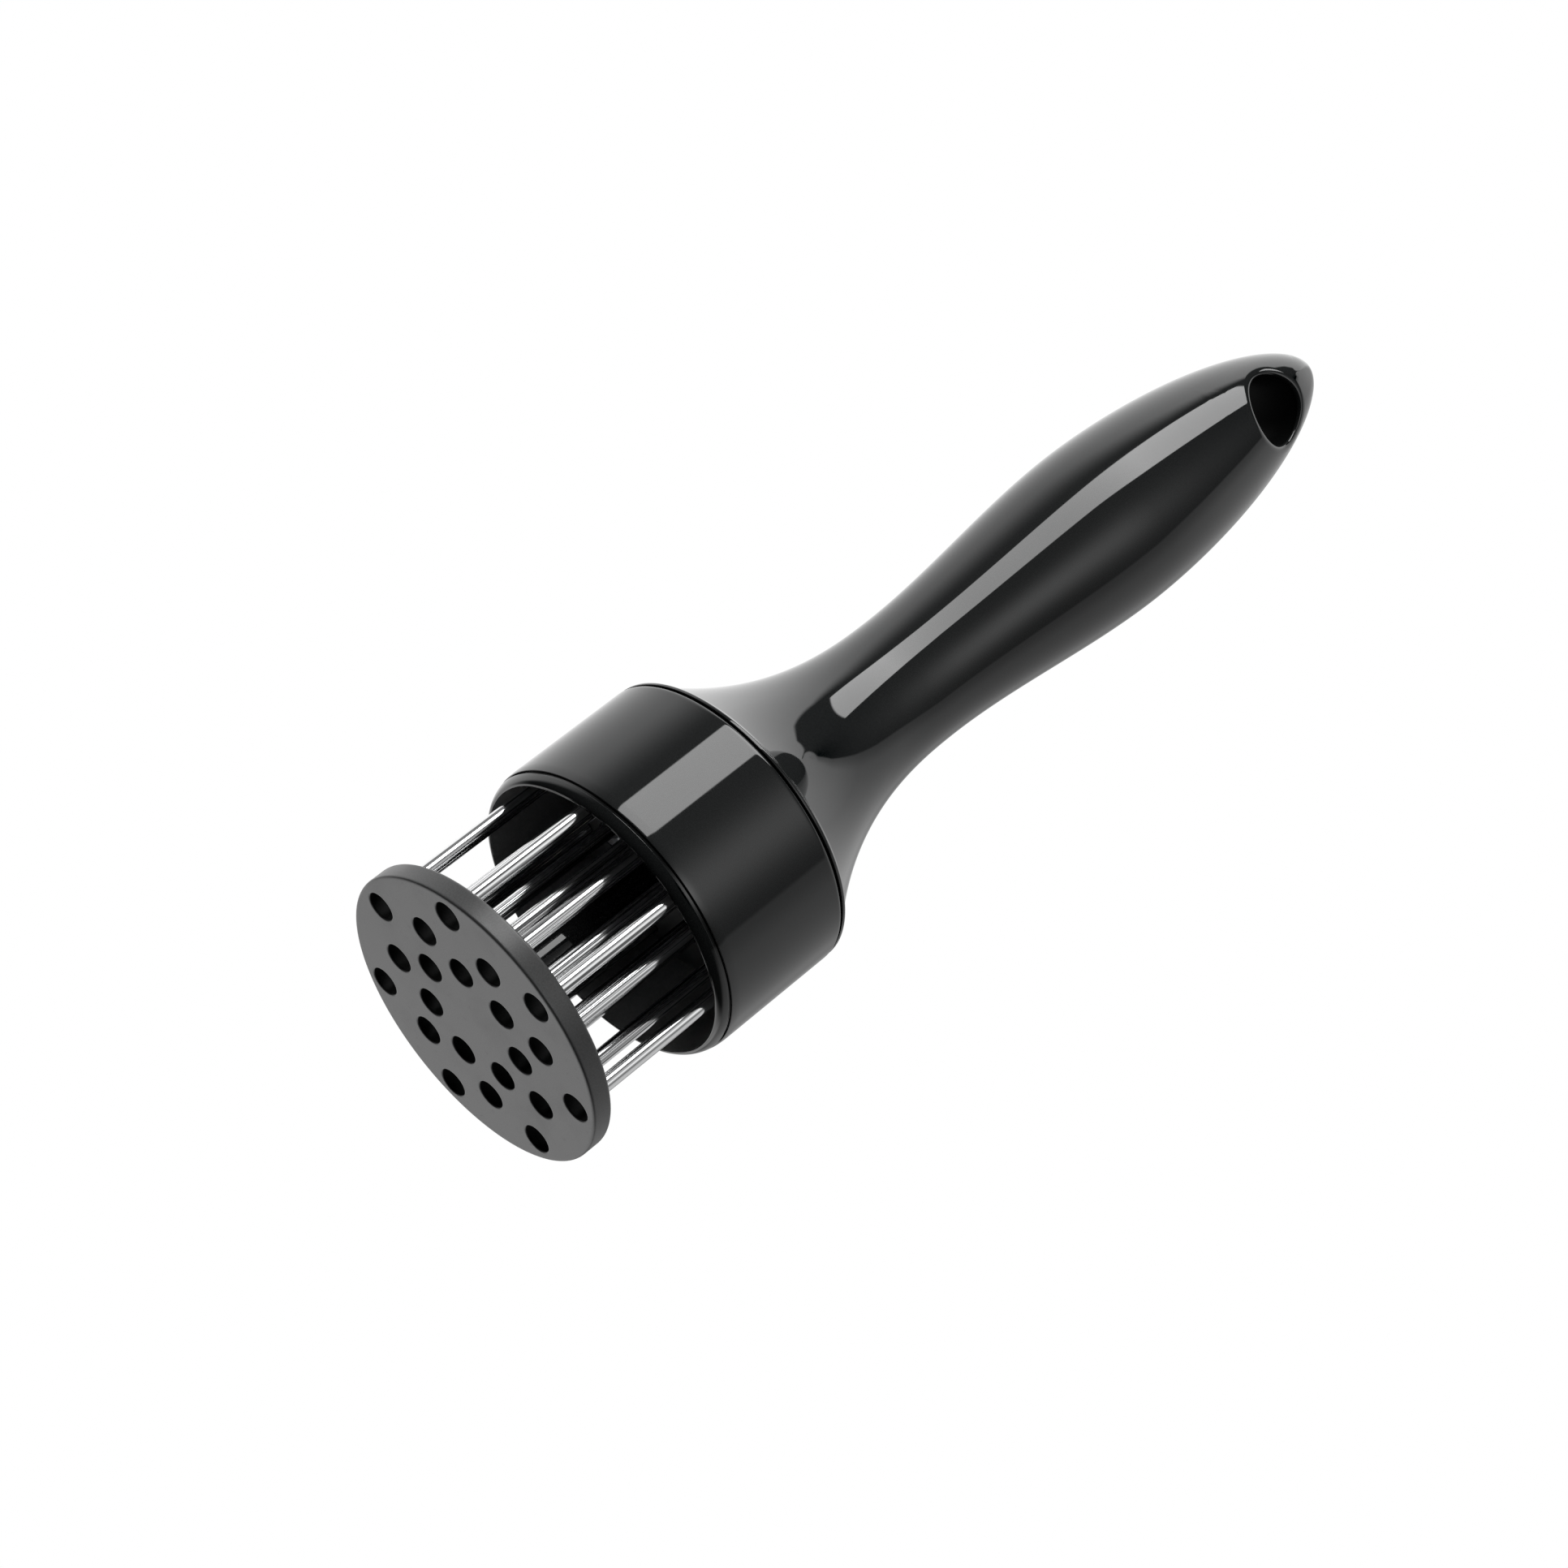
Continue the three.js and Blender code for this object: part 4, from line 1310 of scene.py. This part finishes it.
class TENDERIZER_OT_guide_bush(Undoable, bpy.types.Operator):
    """Make the guide bush"""

    bl_idname = "tenderizer.guide_bush"
    bl_label = "Guide Bush"

    def execute(self, context):
        part = context.scene.tenderizer
        shells = [turned(bush_outline(part.needles), BUSH_SIDES)]
        make_piece("nylon_bush", shells, nylon(part.finish), FIXED_BODY, ["guide_bush"])
        return {"FINISHED"}


class TENDERIZER_OT_screws(Undoable, bpy.types.Operator):
    """Make the clamp screws, the stop screw and its washer"""

    bl_idname = "tenderizer.screws"
    bl_label = "Screws"

    def execute(self, context):
        part = context.scene.tenderizer
        screws, finish = part.screws, plated_steel(part.finish)
        for node in CLAMP_SCREWS:
            shells = slotted_screw(screws, node, screws.clamp_shank / 2, screws.clamp_head, False)
            make_piece(f"slotted_{node}", shells, finish, FIXED_BODY, [node])
        shells = slotted_screw(screws, "stop_screw", screws.stop_shank / 2, screws.stop_head, True)
        make_piece("slotted_stop_screw", shells, finish, GUARD_BODY, ["stop_screw"])
        shells = [turned(washer_outline(screws), BUSH_SIDES)]
        make_piece("stamped_washer", shells, finish, GUARD_BODY, ["stop_washer"])
        return {"FINISHED"}


class TENDERIZER_OT_return_spring(Undoable, bpy.types.Operator):
    """Make the return spring, at one length; the real spring shortens as the guard slides in"""

    bl_idname = "tenderizer.return_spring"
    bl_label = "Return Spring"

    def execute(self, context):
        part = context.scene.tenderizer
        shells, finish = spring_shells(part.spring), spring_wire(part.finish)
        piece = make_piece("coil_spring", shells, finish, FIXED_BODY, ["return_spring"])
        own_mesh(piece)
        return {"FINISHED"}


OPERATORS = Undoable.__subclasses__()


class TENDERIZER_PT_panel(bpy.types.Panel):
    """The tenderizer's pieces and settings"""

    bl_idname = "TENDERIZER_PT_panel"
    bl_label = "Tenderizer"
    bl_space_type = "VIEW_3D"
    bl_region_type = "UI"
    bl_category = "Tenderizer"

    def draw(self, context):
        for operator in OPERATORS:
            self.layout.operator(operator.bl_idname)
        for part, group in PARTS.items():
            box = self.layout.box()
            box.label(text=part.capitalize())
            for setting in group.__annotations__:
                box.prop(getattr(context.scene.tenderizer, part), setting)


CLASSES = (*PARTS.values(), TenderizerSettings, *OPERATORS, TENDERIZER_PT_panel)


def register():
    """Adds the classes and the scene's settings"""
    for cls in CLASSES:
        bpy.utils.register_class(cls)
    bpy.types.Scene.tenderizer = PointerProperty(type=TenderizerSettings)


def unregister():
    """Takes them away again"""
    del bpy.types.Scene.tenderizer
    for cls in reversed(CLASSES):
        bpy.utils.unregister_class(cls)


def main():
    """Makes everything in order"""
    register()
    for operator in OPERATORS:
        group, name = operator.bl_idname.split(".")
        getattr(getattr(bpy.ops, group), name)()


if __name__ == "__main__":
    main()
